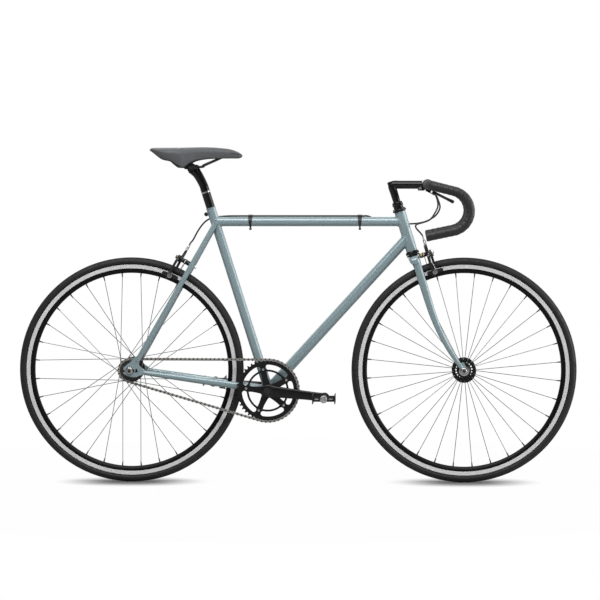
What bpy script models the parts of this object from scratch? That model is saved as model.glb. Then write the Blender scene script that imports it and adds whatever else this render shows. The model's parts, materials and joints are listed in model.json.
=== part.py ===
"""Single-speed drop-bar city bicycle with a fixed sprocket, side-pull brakes and levers on the bar tops.

Metres. +X is forward, +Y is the rider's left and +Z is up.
The origin is on the ground, midway between the axles.
"""

import math
from functools import reduce

import bmesh
import bpy
from mathutils import Matrix, Vector

# Clearances
GAP = 0.0003  # between faces that touch on the real bicycle
RUNNING = 0.0004  # between a turning piece and what it turns on

# Round pieces that others fit on
POST_RADIUS = 0.0136
STEERER_RADIUS = 0.0127
BAR_RADIUS = 0.0119
SPINDLE_RADIUS = 0.0085
FRONT_AXLE_RADIUS = 0.0045
REAR_AXLE_RADIUS = 0.0050

# Overall geometry
WHEELBASE = 1.003
TYRE_DIAMETER = 0.678
HEAD_ANGLE = math.radians(72.95)
SEAT_ANGLE = math.radians(72.4)
FORK_RAKE = 0.0448
HEAD_TUBE_ABOVE_TYRE = 0.0496  # lower end of the head tube, along the steering axis
FORK_LENGTH = TYRE_DIAMETER / 2 + HEAD_TUBE_ABOVE_TYRE  # from the axle
BRACKET_DROP = 0.0601  # bottom bracket below the axles
SEAT_TUBE_LENGTH = 0.576  # bottom bracket to the top of the tube
HEAD_TUBE_LENGTH = 0.124
TOP_TUBE_BELOW_SEAT_TOP = 0.044  # down the seat tube to the top tube's line
TOP_TUBE_ON_HEAD = 0.0928  # above the lower end of the head tube
DOWN_TUBE_ON_HEAD = 0.0424
AXLE_WIDTH_REAR = 0.120  # between the inner faces of the track ends
AXLE_WIDTH_FRONT = 0.100

# Frame tubes
SEAT_TUBE_RADIUS = POST_RADIUS + GAP + 0.0004
TOP_TUBE_RADIUS = 0.0143
DOWN_TUBE_RADIUS = 0.0159
CUP_SPIGOT_WALL = 0.0021
HEAD_TUBE_BORE = STEERER_RADIUS + RUNNING + CUP_SPIGOT_WALL + GAP
HEAD_TUBE_RADIUS = HEAD_TUBE_BORE + 0.0015
TUBE_WALL = 0.0010
SHELL_RADIUS = 0.0200
SHELL_BORE = 0.0174
SHELL_WIDTH = 0.068
SEAT_STAY_RADIUS = 0.0079
SEAT_STAY_BELOW_TOP = 0.050  # down the seat tube to where the stays meet it
SEAT_STAY_SPREAD_TOP = SEAT_TUBE_RADIUS + 0.0032
SEAT_STAY_FOOT = (0.0238, 0.0320)  # ahead of and above the rear axle
CHAIN_STAY_FOOT = (0.0370, -0.0050)
CHAIN_STAY_SPREAD = 0.022
CHAIN_STAY_STATIONS = (0, 0.25, 0.6, 1.02)  # shares of its length
CHAIN_STAY_RADII = ((0.0105, 0.0072), (0.0105, 0.0072), (0.0095, 0.0082), (0.0070, 0.0070))
TRACK_END_THICKNESS = 0.006
WEB_UP_STAY = 0.006  # the track end's web reaches this far up behind the stay's foot
TRACK_SLOT_HALF = 0.0054
TRACK_SLOT_REAR = 0.0185  # behind the axle
TRACK_SLOT_FRONT = 0.0200
BRIDGE_ALONG = TYRE_DIAMETER / 2 - 0.0146  # from the foot of the seat stays up to the brake bridge
BRIDGE_RADIUS = 0.0075
BINDER_BELOW_TOP = 0.015
BINDER_BEHIND = SEAT_TUBE_RADIUS + 0.0042
BINDER_RADIUS = 0.0060
BINDER_BOLT_RADIUS = 0.0025
BINDER_HEAD_LENGTH = 0.004
BINDER_HALF_WIDTH = 0.011
BINDER_SLIT_HALF = 0.0011

# Wheels
TYRE_HALF_WIDTH = 0.0139
TYRE_WALL = 0.0022
TYRE_CROWN_THICKER = 0.0030  # the tread over the casing
RIM_OUTER_RADIUS = TYRE_DIAMETER / 2 - 0.0210
RIM_INNER_RADIUS = RIM_OUTER_RADIUS - 0.0260
RIM_HALF_WIDTH = 0.0105
RIM_WALL = 0.0016
RIM_WELL_RADIUS = RIM_OUTER_RADIUS - 0.0096
RIM_TRACK_DEPTH = 0.0125  # the flat that the shoes press on
RIM_HUB_SIDE_HALF = 0.0052
VALVE_RADIUS = 0.0030
VALVE_LENGTH = 0.022
VALVE_PLACES = (1.8, -9.5)  # front and rear, in spoke spacings from the first spoke
WHEEL_SEGMENTS = 36
SPOKE_COUNT = 32
SPOKE_RADIUS = 0.0010
SPOKE_CIRCLE = 0.0320
SPOKE_ELBOW = 0.0038
SPOKE_OFFSET_AT_RIM = 0.0015
FRONT_SPOKE_START = math.radians(94.9)
REAR_SPOKE_START = math.radians(95.6)
REAR_CROSSINGS = 3
FLANGE_RADIUS = 0.0365
FLANGE_THICKNESS = 0.0026
FLANGE_SPREAD_FRONT = 0.033
FLANGE_SPREAD_REAR = 0.034
HUB_BARREL_RADIUS = 0.0155
HUB_THREAD_RADIUS = 0.0170
AXLE_BEYOND_NUT = 0.0050
CONE_RADIUS = 0.0090
CONE_LENGTH = 0.0095
NUT_RADIUS = 0.0090
NUT_LENGTH = 0.0085
WASHER_RADIUS = 0.0110
WASHER_THICKNESS = 0.0016

# Drive
CHAIN_PITCH = 0.0127
CHAIN_LINKS = 98
CHAIN_LINE = 0.044
CHAIN_PLATE_INSIDE = 0.0019
CHAIN_PLATE_OUTSIDE = 0.0040
CHAIN_HALF_HEIGHT = 0.0040
CHAIN_ROLLER_RADIUS = 0.0033
RING_TEETH = 46
SPROCKET_TEETH = 17
TOOTH_THICKNESS = 0.0030
TOOTH_ROOT_DEPTH = 0.0042
TOOTH_TIP_HEIGHT = 0.0028
TOOTH_ROOT_HALF = 0.0022
TOOTH_TIP_HALF = 0.0010
SPIDER_ARMS = 5
SPIDER_START = math.radians(30)
SPIDER_ROOT_RADIUS = 0.023  # between two arms
SPIDER_WAIST = (0.056, math.radians(10))  # radius, and half the arm's angle there
SPIDER_TIP = (0.071, math.radians(6))
RING_INNER_RADIUS = 0.057
RING_SLOT = (0.063, 0.078, math.radians(27))  # inner radius, outer radius, half its angle
LOCKRING_RADIUS = 0.0210
LOCKRING_THICKNESS = 0.0045
CRANK_LENGTH = 0.1725
CRANK_DOWN = math.radians(6.2)
CRANK_HUB_CENTRE = 0.057
CRANK_EYE_CENTRE = 0.067
CRANK_HUB_RADIUS = 0.019
CRANK_EYE_RADIUS = 0.0135
CRANK_EYE_HALF = 0.0065
CRANK_BOSS_HALF = 0.009
CRANK_ARM_STATIONS = (0, 0.35, 1)
CRANK_ARM_RADII = ((0.0155, 0.0068), (0.0130, 0.0063), (0.0105, 0.0058))
SPIDER_THICKNESS = 0.0052
SPINDLE_END_RADIUS = SPINDLE_RADIUS * 0.8
SPINDLE_HALF_LENGTH = 0.056
SPINDLE_TAPER = 0.016
PEDAL_SPINDLE_RADIUS = 0.0055
PEDAL_SPINDLE_TAPER = 0.8
PEDAL_SPINDLE_SHORT = 0.010  # the spindle ends this far inside the barrel
PEDAL_CAP = 0.006
PEDAL_LENGTH = 0.068
PEDAL_WIDTH = 0.088
PEDAL_HEIGHT = 0.028
PEDAL_BARREL_RADIUS = 0.0105
PEDAL_PLATE = 0.0030
PEDAL_FROM_CRANK = 0.0015
PEDAL_BARS = (0.010, 0.070)  # where the two cross bars start, out from the crank
PEDAL_BAR = (0.010, 0.014)  # width and height

# Fork, headset, stem and bar
STEERER_BORE = STEERER_RADIUS - 0.0013
STEERER_TOP = HEAD_TUBE_LENGTH + 0.026
CUP_RADIUS = HEAD_TUBE_RADIUS + 0.0037
CUP_HEIGHT = 0.0100
CUP_SPIGOT = 0.010
RACE_HEIGHT = 0.005
LOCKNUT_BEYOND_STEERER = (0.0063, 0.0023, 0.0041, 0.0028)
LOCKNUT_HEIGHTS = (0.0028, 0.0080, 0.0060, 0.0060)
CROWN_HEIGHT = 0.022
CROWN_DEPTH = STEERER_RADIUS + 0.0033
CROWN_SHOULDER = 0.030  # crown race down to where the blades start
BLADE_SPREAD_TOP = 0.033
BLADE_TOP = (0.0120, 0.0090)  # half its depth and half its width
BLADE_TIP_RADIUS = 0.0062
BLADE_AHEAD = 0.0035
BLADE_BEND_RADIUS = 0.600
FORK_END_THICKNESS = 0.005
FORK_END_RADIUS = 0.0125
FORK_END_RISE = 0.018
FORK_END_DROP = 0.013
QUILL_RADIUS = STEERER_BORE - GAP
QUILL_DEPTH = 0.070
STEM_RISE = 0.2088  # lower end of the head tube to the stem's line, up the steering axis
STEM_LENGTH = 0.1084
STEM_RADIUS = 0.0125
STEM_CLAMP_HALF = 0.020
STEM_EARS = ((-0.030, -0.014, -0.018), (-0.005, 0.014, -0.006))  # from the middle of the bar
STEM_BOLT_PLACE = (-0.0225, 0, -0.0115)
STEM_BOLT_RADIUS = 0.0030
STEM_BOLT_HALF = 0.019
BAR_CENTRE_RADIUS = BAR_RADIUS + 0.0008
STEM_CLAMP_RADIUS = BAR_CENTRE_RADIUS + 0.0053
BAR_CENTRE_HALF = 0.032
BAR_HALF_WIDTH = 0.205
BAR_CORNER = 0.045  # radius of the bend from the tops into the ramp
HOOK_RADIUS = 0.060
HOOK_CENTRE = (0.0646, -0.0780)  # ahead of and above the tops
DROP_TAIL = 0.084
DROP_TAIL_RISE = math.radians(11.8)
TAPE_RADIUS = BAR_RADIUS + 0.0026
TAPE_START = 0.078  # from the middle of the bar

# Brakes
LEVER_TILT = math.radians(26.6)
LEVER_CLAMP = (0.046, 0.060)
LEVER_CLAMP_RADIUS = BAR_RADIUS + 0.0046
LEVER_PIVOT = (0.028, 0.053, -0.012)
LEVER_PIN_RADIUS = 0.0028
LEVER_LUG = 0.003
LEVER_BLADE = ((0.028, 0.053), (0.042, 0.066), (0.060, 0.090), (0.078, 0.115), (0.089, 0.128))
LEVER_BLADE_WIDTH = 0.0095
LEVER_BLADE_THICKNESS = 0.0085
BRAKE_PIVOT_FRONT = -0.0213  # from the lower end of the head tube, along the steering axis
BRAKE_REACH = 0.0582
BRAKE_PAD_OUT_FRONT = 0.0486
BRAKE_PAD_OUT_REAR = 0.0431
BRAKE_ARM_THICKNESS = 0.0072
BRAKE_LEG = (0.0205, 0.0290)  # inner and outer faces of a leg, from the wheel's middle plane
BRAKE_BOLT_RADIUS = 0.0030
BRAKE_NUT_RADII = (0.0048, 0.0075, 0.0060)  # on the frame, its spring seat, and in front of the arms
BRAKE_STUD_RADIUS = 0.0040
BRAKE_FOOT = 0.0070  # the legs go this far past the shoes
ADJUSTER = (0.030, 0.010, 0.045)  # aside from the bolt, and its lower and upper end above it
ADJUSTER_RADIUS = 0.0045
ANCHOR_PLACE = (-0.0345, -0.0070)
ANCHOR_BEHIND = 0.010
ANCHOR_AHEAD = 0.003
PAD_CLEARANCE = 0.0020
PAD_LENGTH = 0.050
PAD_HEIGHT = 0.0115
PAD_THICKNESS = 0.0085
HOUSING_RADIUS = 0.0025
CLIP_PLACES = (0.1065, -0.1295)  # ahead of the top tube's rear end, and of its front end
CLIP_HALF_LENGTH = 0.004
CLIP_BAND = 0.0013
CLIP_SCREW = (0.0032, 0.009)  # radius, and how far it hangs below the tube

# Saddle and post
POST_DEPTH = 0.200
POST_ABOVE_TUBE = 0.072
CLAMP_FROM_SEAT_TOP = (-0.0580, 0, 0.1226)
NECK = ((0.0287, 0, -0.0395), (0.0172, 0, -0.0200))  # its line, from the clamp
NECK_RADII = ((0.97, 0.97), (1.01, 1.0), (1.08, 1.0), (1.36, 0.96))  # shares of the post's radius
SADDLE_RAIL_RADIUS = 0.0035
SADDLE_RAIL_SPREAD = 0.022
CLAMP_WIDTH = 0.056
CLAMP_RADIUS = 0.0115
CLAMP_LENGTH = 0.045
CLAMP_HEIGHT = 0.0138

# Points that follow from the sizes
AXLE_HEIGHT = TYRE_DIAMETER / 2
REAR_AXLE = Vector((-WHEELBASE / 2, 0, AXLE_HEIGHT))
FRONT_AXLE = Vector((WHEELBASE / 2, 0, AXLE_HEIGHT))
LEFT = Vector((0, 1, 0))
FORWARD = Vector((1, 0, 0))
STEER_UP = Vector((-math.cos(HEAD_ANGLE), 0, math.sin(HEAD_ANGLE)))
STEER_FORWARD = Vector((math.sin(HEAD_ANGLE), 0, math.cos(HEAD_ANGLE)))
HEAD_BASE = FRONT_AXLE - STEER_FORWARD * FORK_RAKE + STEER_UP * FORK_LENGTH
SEAT_UP = Vector((-math.cos(SEAT_ANGLE), 0, math.sin(SEAT_ANGLE)))


def pitch_radius(teeth):
    return CHAIN_PITCH / (2 * math.sin(math.pi / teeth))


def loop_links(centres):
    """Links in the chain loop when the two axles are this far apart."""
    big, small = pitch_radius(RING_TEETH), pitch_radius(SPROCKET_TEETH)
    lean = math.asin((big - small) / centres)
    around = RING_TEETH * (0.5 + lean / math.pi) + SPROCKET_TEETH * (0.5 - lean / math.pi)
    return around + 2 * centres * math.cos(lean) / CHAIN_PITCH


def taut_centres():
    """The axle distance that draws the chain taut, as the wheel is slid back in its track ends."""
    near, far = 0.3, 0.6
    while far - near > 1e-9:
        middle = (near + far) / 2
        if loop_links(middle) < CHAIN_LINKS:
            near = middle
        else:
            far = middle
    return near


CHAIN_CENTRES = taut_centres()
BRACKET = REAR_AXLE + Vector((math.sqrt(CHAIN_CENTRES**2 - BRACKET_DROP**2), 0, -BRACKET_DROP))


def matrix(origin, x_axis, y_axis, z_axis):
    """Places local coordinates at origin with these three directions."""
    turn = Matrix((x_axis, y_axis, z_axis)).transposed().to_4x4()
    return Matrix.Translation(origin) @ turn


STEERING = matrix(HEAD_BASE, STEER_FORWARD, LEFT, STEER_UP)
SEAT_TOP = BRACKET + SEAT_UP * SEAT_TUBE_LENGTH
POST_CLAMP = SEAT_TOP + Vector(CLAMP_FROM_SEAT_TOP)
TOP_TUBE_START = SEAT_TOP - SEAT_UP * TOP_TUBE_BELOW_SEAT_TOP
TOP_TUBE_END = HEAD_BASE + STEER_UP * TOP_TUBE_ON_HEAD
BAR_CENTRE = HEAD_BASE + STEER_UP * STEM_RISE + FORWARD * STEM_LENGTH
SEAT = matrix(SEAT_TOP, Vector((SEAT_UP.z, 0, -SEAT_UP.x)), LEFT, SEAT_UP)


def across(centre):
    """Local z along +Y, so that a turned profile's heights run towards the rider's left."""
    return matrix(centre, FORWARD, Vector((0, 0, -1)), LEFT)


# Shapes


def loft(rings, closed=False, capped=True):
    """A skin through rings of points that all have the same number of points."""
    bm = bmesh.new()
    loops = [[bm.verts.new(point) for point in ring] for ring in rings]
    count = len(loops[0])
    following = loops[1:] + loops[:1] if closed else loops[1:]
    for loop, after in zip(loops, following):
        for i in range(count):
            j = (i + 1) % count
            bm.faces.new((loop[i], loop[j], after[j], after[i]))
    if capped and not closed:
        bm.faces.new(loops[0][::-1])
        bm.faces.new(loops[-1])
    bmesh.ops.recalc_face_normals(bm, faces=bm.faces)
    return bm


def turned(profile, sides, place, closed=False, phase=0.0):
    """A profile of (radius, height) points turned round the local z axis."""
    angles = [phase + math.tau * i / sides for i in range(sides)]
    rings = [
        [place @ Vector((radius * math.cos(a), radius * math.sin(a), height)) for a in angles]
        for radius, height in profile
    ]
    return loft(rings, closed)


def rod(start, end, radius, sides=12, end_radius=None):
    start, end = Vector(start), Vector(end)
    return swept([start, end], [radius, radius if end_radius is None else end_radius], sides)


def swept(points, radii, sides, bore=None, upright=LEFT):
    """A tube along points. A radius is a number, or (across, along upright). A bore runs right through."""
    points = [Vector(point) for point in points]
    if not isinstance(radii, (list, tuple)):
        radii = [radii] * len(points)
    steps = [(after - before).normalized() for before, after in zip(points, points[1:])]
    around = zip([steps[0], *steps], [*steps, steps[-1]])
    tangents = [(before + after).normalized() for before, after in around]
    if abs(tangents[0].dot(upright)) > 0.9:
        upright = Vector((0, 0, 1))
    side = (upright - tangents[0] * tangents[0].dot(upright)).normalized()
    outer, inner = [], []
    for i, (point, tangent, size) in enumerate(zip(points, tangents, radii)):
        if i:
            side = (side - tangent * side.dot(tangent)).normalized()
        level = side.cross(tangent)
        wide, tall = size if isinstance(size, (list, tuple)) else (size, size)

        def circle(shrink):
            return [
                point
                + level * (wide - shrink) * math.cos(math.tau * (k + 0.5) / sides)
                + side * (tall - shrink) * math.sin(math.tau * (k + 0.5) / sides)
                for k in range(sides)
            ]

        outer.append(circle(0))
        if bore is not None:
            inner.append(circle(wide - bore))
    if bore is None:
        return loft(outer)
    return loft(outer + inner[::-1], closed=True)


def bore_radius(radius, clearance, sides):
    """To the corners of a hole whose flats stay this far from a round piece, however that is turned."""
    return (radius + clearance) / math.cos(math.pi / sides)


def clearing(start, end, radius, sides=16, clearance=GAP):
    """A round cutter for a piece of this radius."""
    return rod(start, end, bore_radius(radius, clearance, sides), sides)


def plate(outline, low, high, place):
    """A flat outline of (x, y) points, thick from low to high along the local z axis."""
    return loft([[place @ Vector((x, y, z)) for x, y in outline] for z in (low, high)])


def block(low, high, place=Matrix.Identity(4)):
    (x0, y0, z0), (x1, y1, z1) = low, high
    return plate(((x0, y0), (x1, y0), (x1, y1), (x0, y1)), z0, z1, place)


def strip(points, width):
    """The outline of a flat bar that runs through points."""
    left, right = [], []
    for i, point in enumerate(points):
        before, after = Vector(points[max(i - 1, 0)]), Vector(points[min(i + 1, len(points) - 1)])
        along = (after - before).normalized()
        aside = Vector((-along.y, along.x)) * width / 2
        left.append(Vector(point) + aside)
        right.append(Vector(point) - aside)
    return left + right[::-1]


def smooth_path(points, steps):
    """Points read from a smooth curve that passes through all of these."""
    points = [Vector(point) for point in points]
    ends = [2 * points[0] - points[1], *points, 2 * points[-1] - points[-2]]
    path = []
    for a, b, c, d in zip(ends, ends[1:], ends[2:], ends[3:]):
        for i in range(steps):
            t = i / steps
            bend, twist = a * 2 - b * 5 + c * 4 - d, b * 3 - a - c * 3 + d
            path.append((b * 2 + (c - a) * t + bend * t**2 + twist * t**3) / 2)
    return [*path, points[-1]]


def combine(base, tool, operation):
    """Both are used up, and a new mesh comes back."""
    helpers = []
    for bm in (base, tool):
        mesh = bpy.data.meshes.new("helper")
        bm.to_mesh(mesh)
        bm.free()
        helper = bpy.data.objects.new("helper", mesh)
        bpy.context.scene.collection.objects.link(helper)
        helpers.append(helper)
    modifier = helpers[0].modifiers.new("combine", "BOOLEAN")
    modifier.operation = operation
    modifier.solver = "EXACT"
    modifier.object = helpers[1]
    graph = bpy.context.evaluated_depsgraph_get()
    result = bmesh.new()
    result.from_object(helpers[0], graph)
    for helper in helpers:
        mesh = helper.data
        bpy.data.objects.remove(helper)
        bpy.data.meshes.remove(mesh)
    bmesh.ops.dissolve_degenerate(result, dist=1e-6, edges=result.edges)
    return result


def joined(*shapes):
    return reduce(lambda base, tool: combine(base, tool, "UNION"), shapes)


def cut(base, *tools):
    return reduce(lambda left, tool: combine(left, tool, "DIFFERENCE"), tools, base)


def gathered(shapes):
    """Shapes that don't touch each other, as one mesh for a single union or cut."""
    whole = bmesh.new()
    for shape in shapes:
        mesh = bpy.data.meshes.new("helper")
        shape.to_mesh(mesh)
        shape.free()
        whole.from_mesh(mesh)
        bpy.data.meshes.remove(mesh)
    return whole


# Scene

SHARP = math.radians(38)
MATERIALS = {}


def clear_scene():
    for obj in list(bpy.data.objects):
        bpy.data.objects.remove(obj, do_unlink=True)


def material(name, colour, roughness, metallic):
    made = bpy.data.materials.new(name)
    made.use_nodes = True
    shader = made.node_tree.nodes["Principled BSDF"]
    shader.inputs["Base Color"].default_value = (*colour, 1)
    shader.inputs["Roughness"].default_value = roughness
    shader.inputs["Metallic"].default_value = metallic
    made.diffuse_color = (*colour, 1)
    MATERIALS[name] = made


def make_materials():
    material("frame_paint", (0.27, 0.38, 0.41), 0.25, 0.3)
    material("black_paint", (0.012, 0.012, 0.013), 0.35, 0.2)
    material("black_alloy", (0.020, 0.020, 0.022), 0.40, 0.6)
    material("rim_alloy", (0.45, 0.46, 0.47), 0.35, 0.9)
    material("spoke_steel", (0.30, 0.31, 0.32), 0.30, 1.0)
    material("tyre_rubber", (0.025, 0.025, 0.027), 0.80, 0.0)
    material("tube_rubber", (0.030, 0.030, 0.030), 0.70, 0.0)
    material("chain_steel", (0.32, 0.29, 0.25), 0.35, 1.0)
    material("zinc_steel", (0.55, 0.55, 0.56), 0.30, 1.0)
    material("bar_tape", (0.022, 0.022, 0.024), 0.75, 0.0)
    material("housing_black", (0.015, 0.015, 0.016), 0.40, 0.0)
    material("saddle_cover", (0.035, 0.036, 0.040), 0.60, 0.0)


def pivot(name, at, parent=None):
    """An empty on a joint's axis, which carries the pieces that move there."""
    empty = bpy.data.objects.new(name, None)
    bpy.context.scene.collection.objects.link(empty)
    empty.empty_display_size = 0.03
    empty["place"] = tuple(at)
    empty.parent = parent
    empty.location = Vector(at) - (Vector(parent["place"]) if parent else Vector())
    return empty


def piece(name, shape, finish, carrier):
    """One named solid, carried by an empty."""
    bmesh.ops.recalc_face_normals(shape, faces=shape.faces)
    shape.transform(Matrix.Translation(-Vector(carrier["place"])))
    mesh = bpy.data.meshes.new(name)
    shape.to_mesh(mesh)
    shape.free()
    mesh.shade_smooth()
    mesh.set_sharp_from_angle(angle=SHARP)
    mesh.materials.append(MATERIALS[finish])
    obj = bpy.data.objects.new(name, mesh)
    bpy.context.scene.collection.objects.link(obj)
    obj.parent = carrier
    return obj


def cable(name, route, radius, finish, carrier, steps):
    """A round tube with closed ends along a smooth curve through the route."""
    curve = bpy.data.curves.new(name, "CURVE")
    curve.dimensions = "3D"
    curve.bevel_depth = radius
    curve.bevel_resolution = 1
    curve.use_fill_caps = True
    path = smooth_path(route, steps)
    spline = curve.splines.new("POLY")
    spline.points.add(len(path) - 1)
    for spot, point in zip(spline.points, path):
        spot.co = (*(point - Vector(carrier["place"])), 1)
    spline.use_smooth = True
    curve.materials.append(MATERIALS[finish])
    obj = bpy.data.objects.new(name, curve)
    bpy.context.scene.collection.objects.link(obj)
    obj.parent = carrier
    return obj


# Frame

SIDES = (("left", 1), ("right", -1))
TUBE_SIDES = 12
STAY_SIDES = 10


def seat_stay_ends(side):
    """The stay's line, from the seat tube down to the track end."""
    top = SEAT_TOP - SEAT_UP * SEAT_STAY_BELOW_TOP + LEFT * side * SEAT_STAY_SPREAD_TOP
    ahead, above = SEAT_STAY_FOOT
    spread = (AXLE_WIDTH_REAR + TRACK_END_THICKNESS) / 2
    return top, REAR_AXLE + Vector((ahead, side * spread, above))


def seat_stay_plane():
    """Up along the stays in the middle plane, and square to that, away from the seat tube."""
    top, foot = seat_stay_ends(0)
    foot.y = 0
    up = (top - foot).normalized()
    return foot, up, Vector((-up.z, 0, up.x))


def seat_tube_clearance():
    return clearing(BRACKET, SEAT_TOP, SEAT_TUBE_RADIUS)


def head_tube_clearance():
    return clearing(HEAD_BASE, HEAD_BASE + STEER_UP * HEAD_TUBE_LENGTH, HEAD_TUBE_RADIUS)


def shell_clearance():
    return clearing(BRACKET - LEFT * SHELL_WIDTH, BRACKET + LEFT * SHELL_WIDTH, SHELL_RADIUS)


def hollow_tube(start, end, radius, bore):
    reach = (Vector(end) - Vector(start)) * 0.1
    return cut(rod(start, end, radius, TUBE_SIDES), rod(start - reach, end + reach, bore, TUBE_SIDES))


def build_main_tubes(frame):
    outer, bore, height = HEAD_TUBE_RADIUS, HEAD_TUBE_BORE, HEAD_TUBE_LENGTH
    profile = ((outer, 0), (outer, height), (bore, height), (bore, 0))
    piece("head_tube", turned(profile, TUBE_SIDES, STEERING, closed=True), "frame_paint", frame)

    top_tube = cut(
        hollow_tube(TOP_TUBE_START, TOP_TUBE_END, TOP_TUBE_RADIUS, TOP_TUBE_RADIUS - TUBE_WALL),
        seat_tube_clearance(),
        head_tube_clearance(),
    )
    piece("top_tube", top_tube, "frame_paint", frame)

    down_end = HEAD_BASE + STEER_UP * DOWN_TUBE_ON_HEAD
    down_tube = cut(
        hollow_tube(BRACKET, down_end, DOWN_TUBE_RADIUS, DOWN_TUBE_RADIUS - TUBE_WALL),
        shell_clearance(),
        head_tube_clearance(),
    )
    # The two tubes stand in the bracket shell side by side, so the down tube is scooped to the seat tube.
    piece("down_tube", cut(down_tube, seat_tube_clearance()), "frame_paint", frame)

    outer, bore, half = SHELL_RADIUS, SHELL_BORE, SHELL_WIDTH / 2
    profile = ((outer, -half), (outer, half), (bore, half), (bore, -half))
    shell = turned(profile, TUBE_SIDES, across(BRACKET), closed=True)
    piece("bottom_bracket_shell", shell, "frame_paint", frame)


def build_seat_tube(frame):
    """The seat tube holds the post, so its top carries the slit and the ears of the binder bolt."""
    bore = POST_RADIUS + GAP
    lug = rod(
        SEAT @ Vector((-BINDER_BEHIND, -BINDER_HALF_WIDTH, -BINDER_BELOW_TOP)),
        SEAT @ Vector((-BINDER_BEHIND, BINDER_HALF_WIDTH, -BINDER_BELOW_TOP)),
        BINDER_RADIUS,
        8,
    )
    tube = joined(rod(BRACKET, SEAT_TOP, SEAT_TUBE_RADIUS, TUBE_SIDES), lug)
    slit_low = (-BINDER_BEHIND - 2 * BINDER_RADIUS, -BINDER_SLIT_HALF, -2 * BINDER_BELOW_TOP)
    tube = cut(
        tube,
        rod(BRACKET, SEAT_TOP + SEAT_UP * 0.01, bore, TUBE_SIDES),
        block(slit_low, (0, BINDER_SLIT_HALF, 0.01), SEAT),
        binder_bolt_shape(GAP),
        shell_clearance(),
    )
    piece("seat_tube", tube, "frame_paint", frame)
    piece("seat_binder_bolt", binder_bolt_shape(0), "zinc_steel", frame)


def binder_bolt_shape(extra):
    """A cap screw across the two ears, with its head and nut outside them."""
    head = 1.7 * BINDER_BOLT_RADIUS
    inside, outside = BINDER_HALF_WIDTH + GAP - extra, BINDER_HALF_WIDTH + BINDER_HEAD_LENGTH + extra
    profile = (
        (head + extra, -outside),
        (head + extra, -inside),
        (BINDER_BOLT_RADIUS + extra, -inside),
        (BINDER_BOLT_RADIUS + extra, inside),
        (head + extra, inside),
        (head + extra, outside),
    )
    return turned(profile, 8, across(SEAT @ Vector((-BINDER_BEHIND, 0, -BINDER_BELOW_TOP))))


def track_end_outline():
    """Seen from the right, with the axle at the origin and the slot open to the rear."""
    slot, rear, front = TRACK_SLOT_HALF, -TRACK_SLOT_REAR, TRACK_SLOT_FRONT
    foot = Vector((SEAT_STAY_FOOT[0], 0, SEAT_STAY_FOOT[1]))
    chain_x, chain_z = CHAIN_STAY_FOOT
    _, up, back = seat_stay_plane()
    beside, below = back * (SEAT_STAY_RADIUS + GAP), up * GAP
    beside_stay = (foot + beside + up * WEB_UP_STAY, foot + beside - below)
    under_stay = foot - back * SEAT_STAY_RADIUS - below
    return (
        (rear, slot),
        (rear, slot + 0.005),
        (0, slot + 0.019),
        *((point.x, point.z) for point in (*beside_stay, under_stay)),
        (front + 0.0065, slot + 0.014),
        (front + 0.0095, slot + 0.007),
        (chain_x - GAP, chain_z + 0.009),
        (chain_x - GAP, chain_z - 0.008),
        (front + 0.003, -slot - 0.0130),
        (0.010, -slot - 0.0140),
        (-0.004, -slot - 0.0115),
        (rear, -slot - 0.004),
        (rear, -slot),
        (front, -slot),
        (front + 0.004, -slot / 2),
        (front + 0.004, slot / 2),
        (front, slot),
    )


def build_rear_triangle(frame):
    spread = (AXLE_WIDTH_REAR + TRACK_END_THICKNESS) / 2
    upright = matrix(REAR_AXLE, FORWARD, Vector((0, 0, 1)), -LEFT)
    for name, side in SIDES:
        middle = -side * spread
        low, high = middle - TRACK_END_THICKNESS / 2, middle + TRACK_END_THICKNESS / 2
        piece(f"track_end_{name}", plate(track_end_outline(), low, high, upright), "frame_paint", frame)

        top, foot = seat_stay_ends(side)
        stay = cut(rod(top, foot, SEAT_STAY_RADIUS, STAY_SIDES), seat_tube_clearance())
        piece(f"seat_stay_{name}", stay, "frame_paint", frame)

        start = BRACKET + LEFT * side * CHAIN_STAY_SPREAD
        end = REAR_AXLE + Vector((CHAIN_STAY_FOOT[0], side * spread, CHAIN_STAY_FOOT[1]))
        stations = [start.lerp(end, share) for share in CHAIN_STAY_STATIONS]
        beyond = block((-0.03, -0.03, -0.03), (0, 0.03, 0.03), Matrix.Translation(end))
        stay = cut(swept(stations, CHAIN_STAY_RADII, STAY_SIDES), shell_clearance(), beyond)
        piece(f"chain_stay_{name}", stay, "frame_paint", frame)


def rear_brake_place():
    """Local x points away from the frame along the brake bolt, and local z up the stays."""
    foot, up, back = seat_stay_plane()
    return matrix(foot + up * BRIDGE_ALONG, back, -LEFT, up)


def build_brake_bridge(frame):
    """From the middle line of one seat stay to that of the other, and then cut clear of both."""
    place = rear_brake_place()
    middle = place.translation
    top, foot = seat_stay_ends(1)
    share = (middle.z - foot.z) / (top.z - foot.z)
    reach = LEFT * foot.lerp(top, share).y
    bridge = rod(middle - reach, middle + reach, BRIDGE_RADIUS, STAY_SIDES)
    through = place.col[0].xyz * 2 * BRIDGE_RADIUS
    tools = [clearing(*seat_stay_ends(side), SEAT_STAY_RADIUS, STAY_SIDES) for _, side in SIDES]
    tools.append(clearing(middle - through, middle + through, BRAKE_BOLT_RADIUS, 8))
    piece("brake_bridge", cut(bridge, *tools), "frame_paint", frame)


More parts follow.
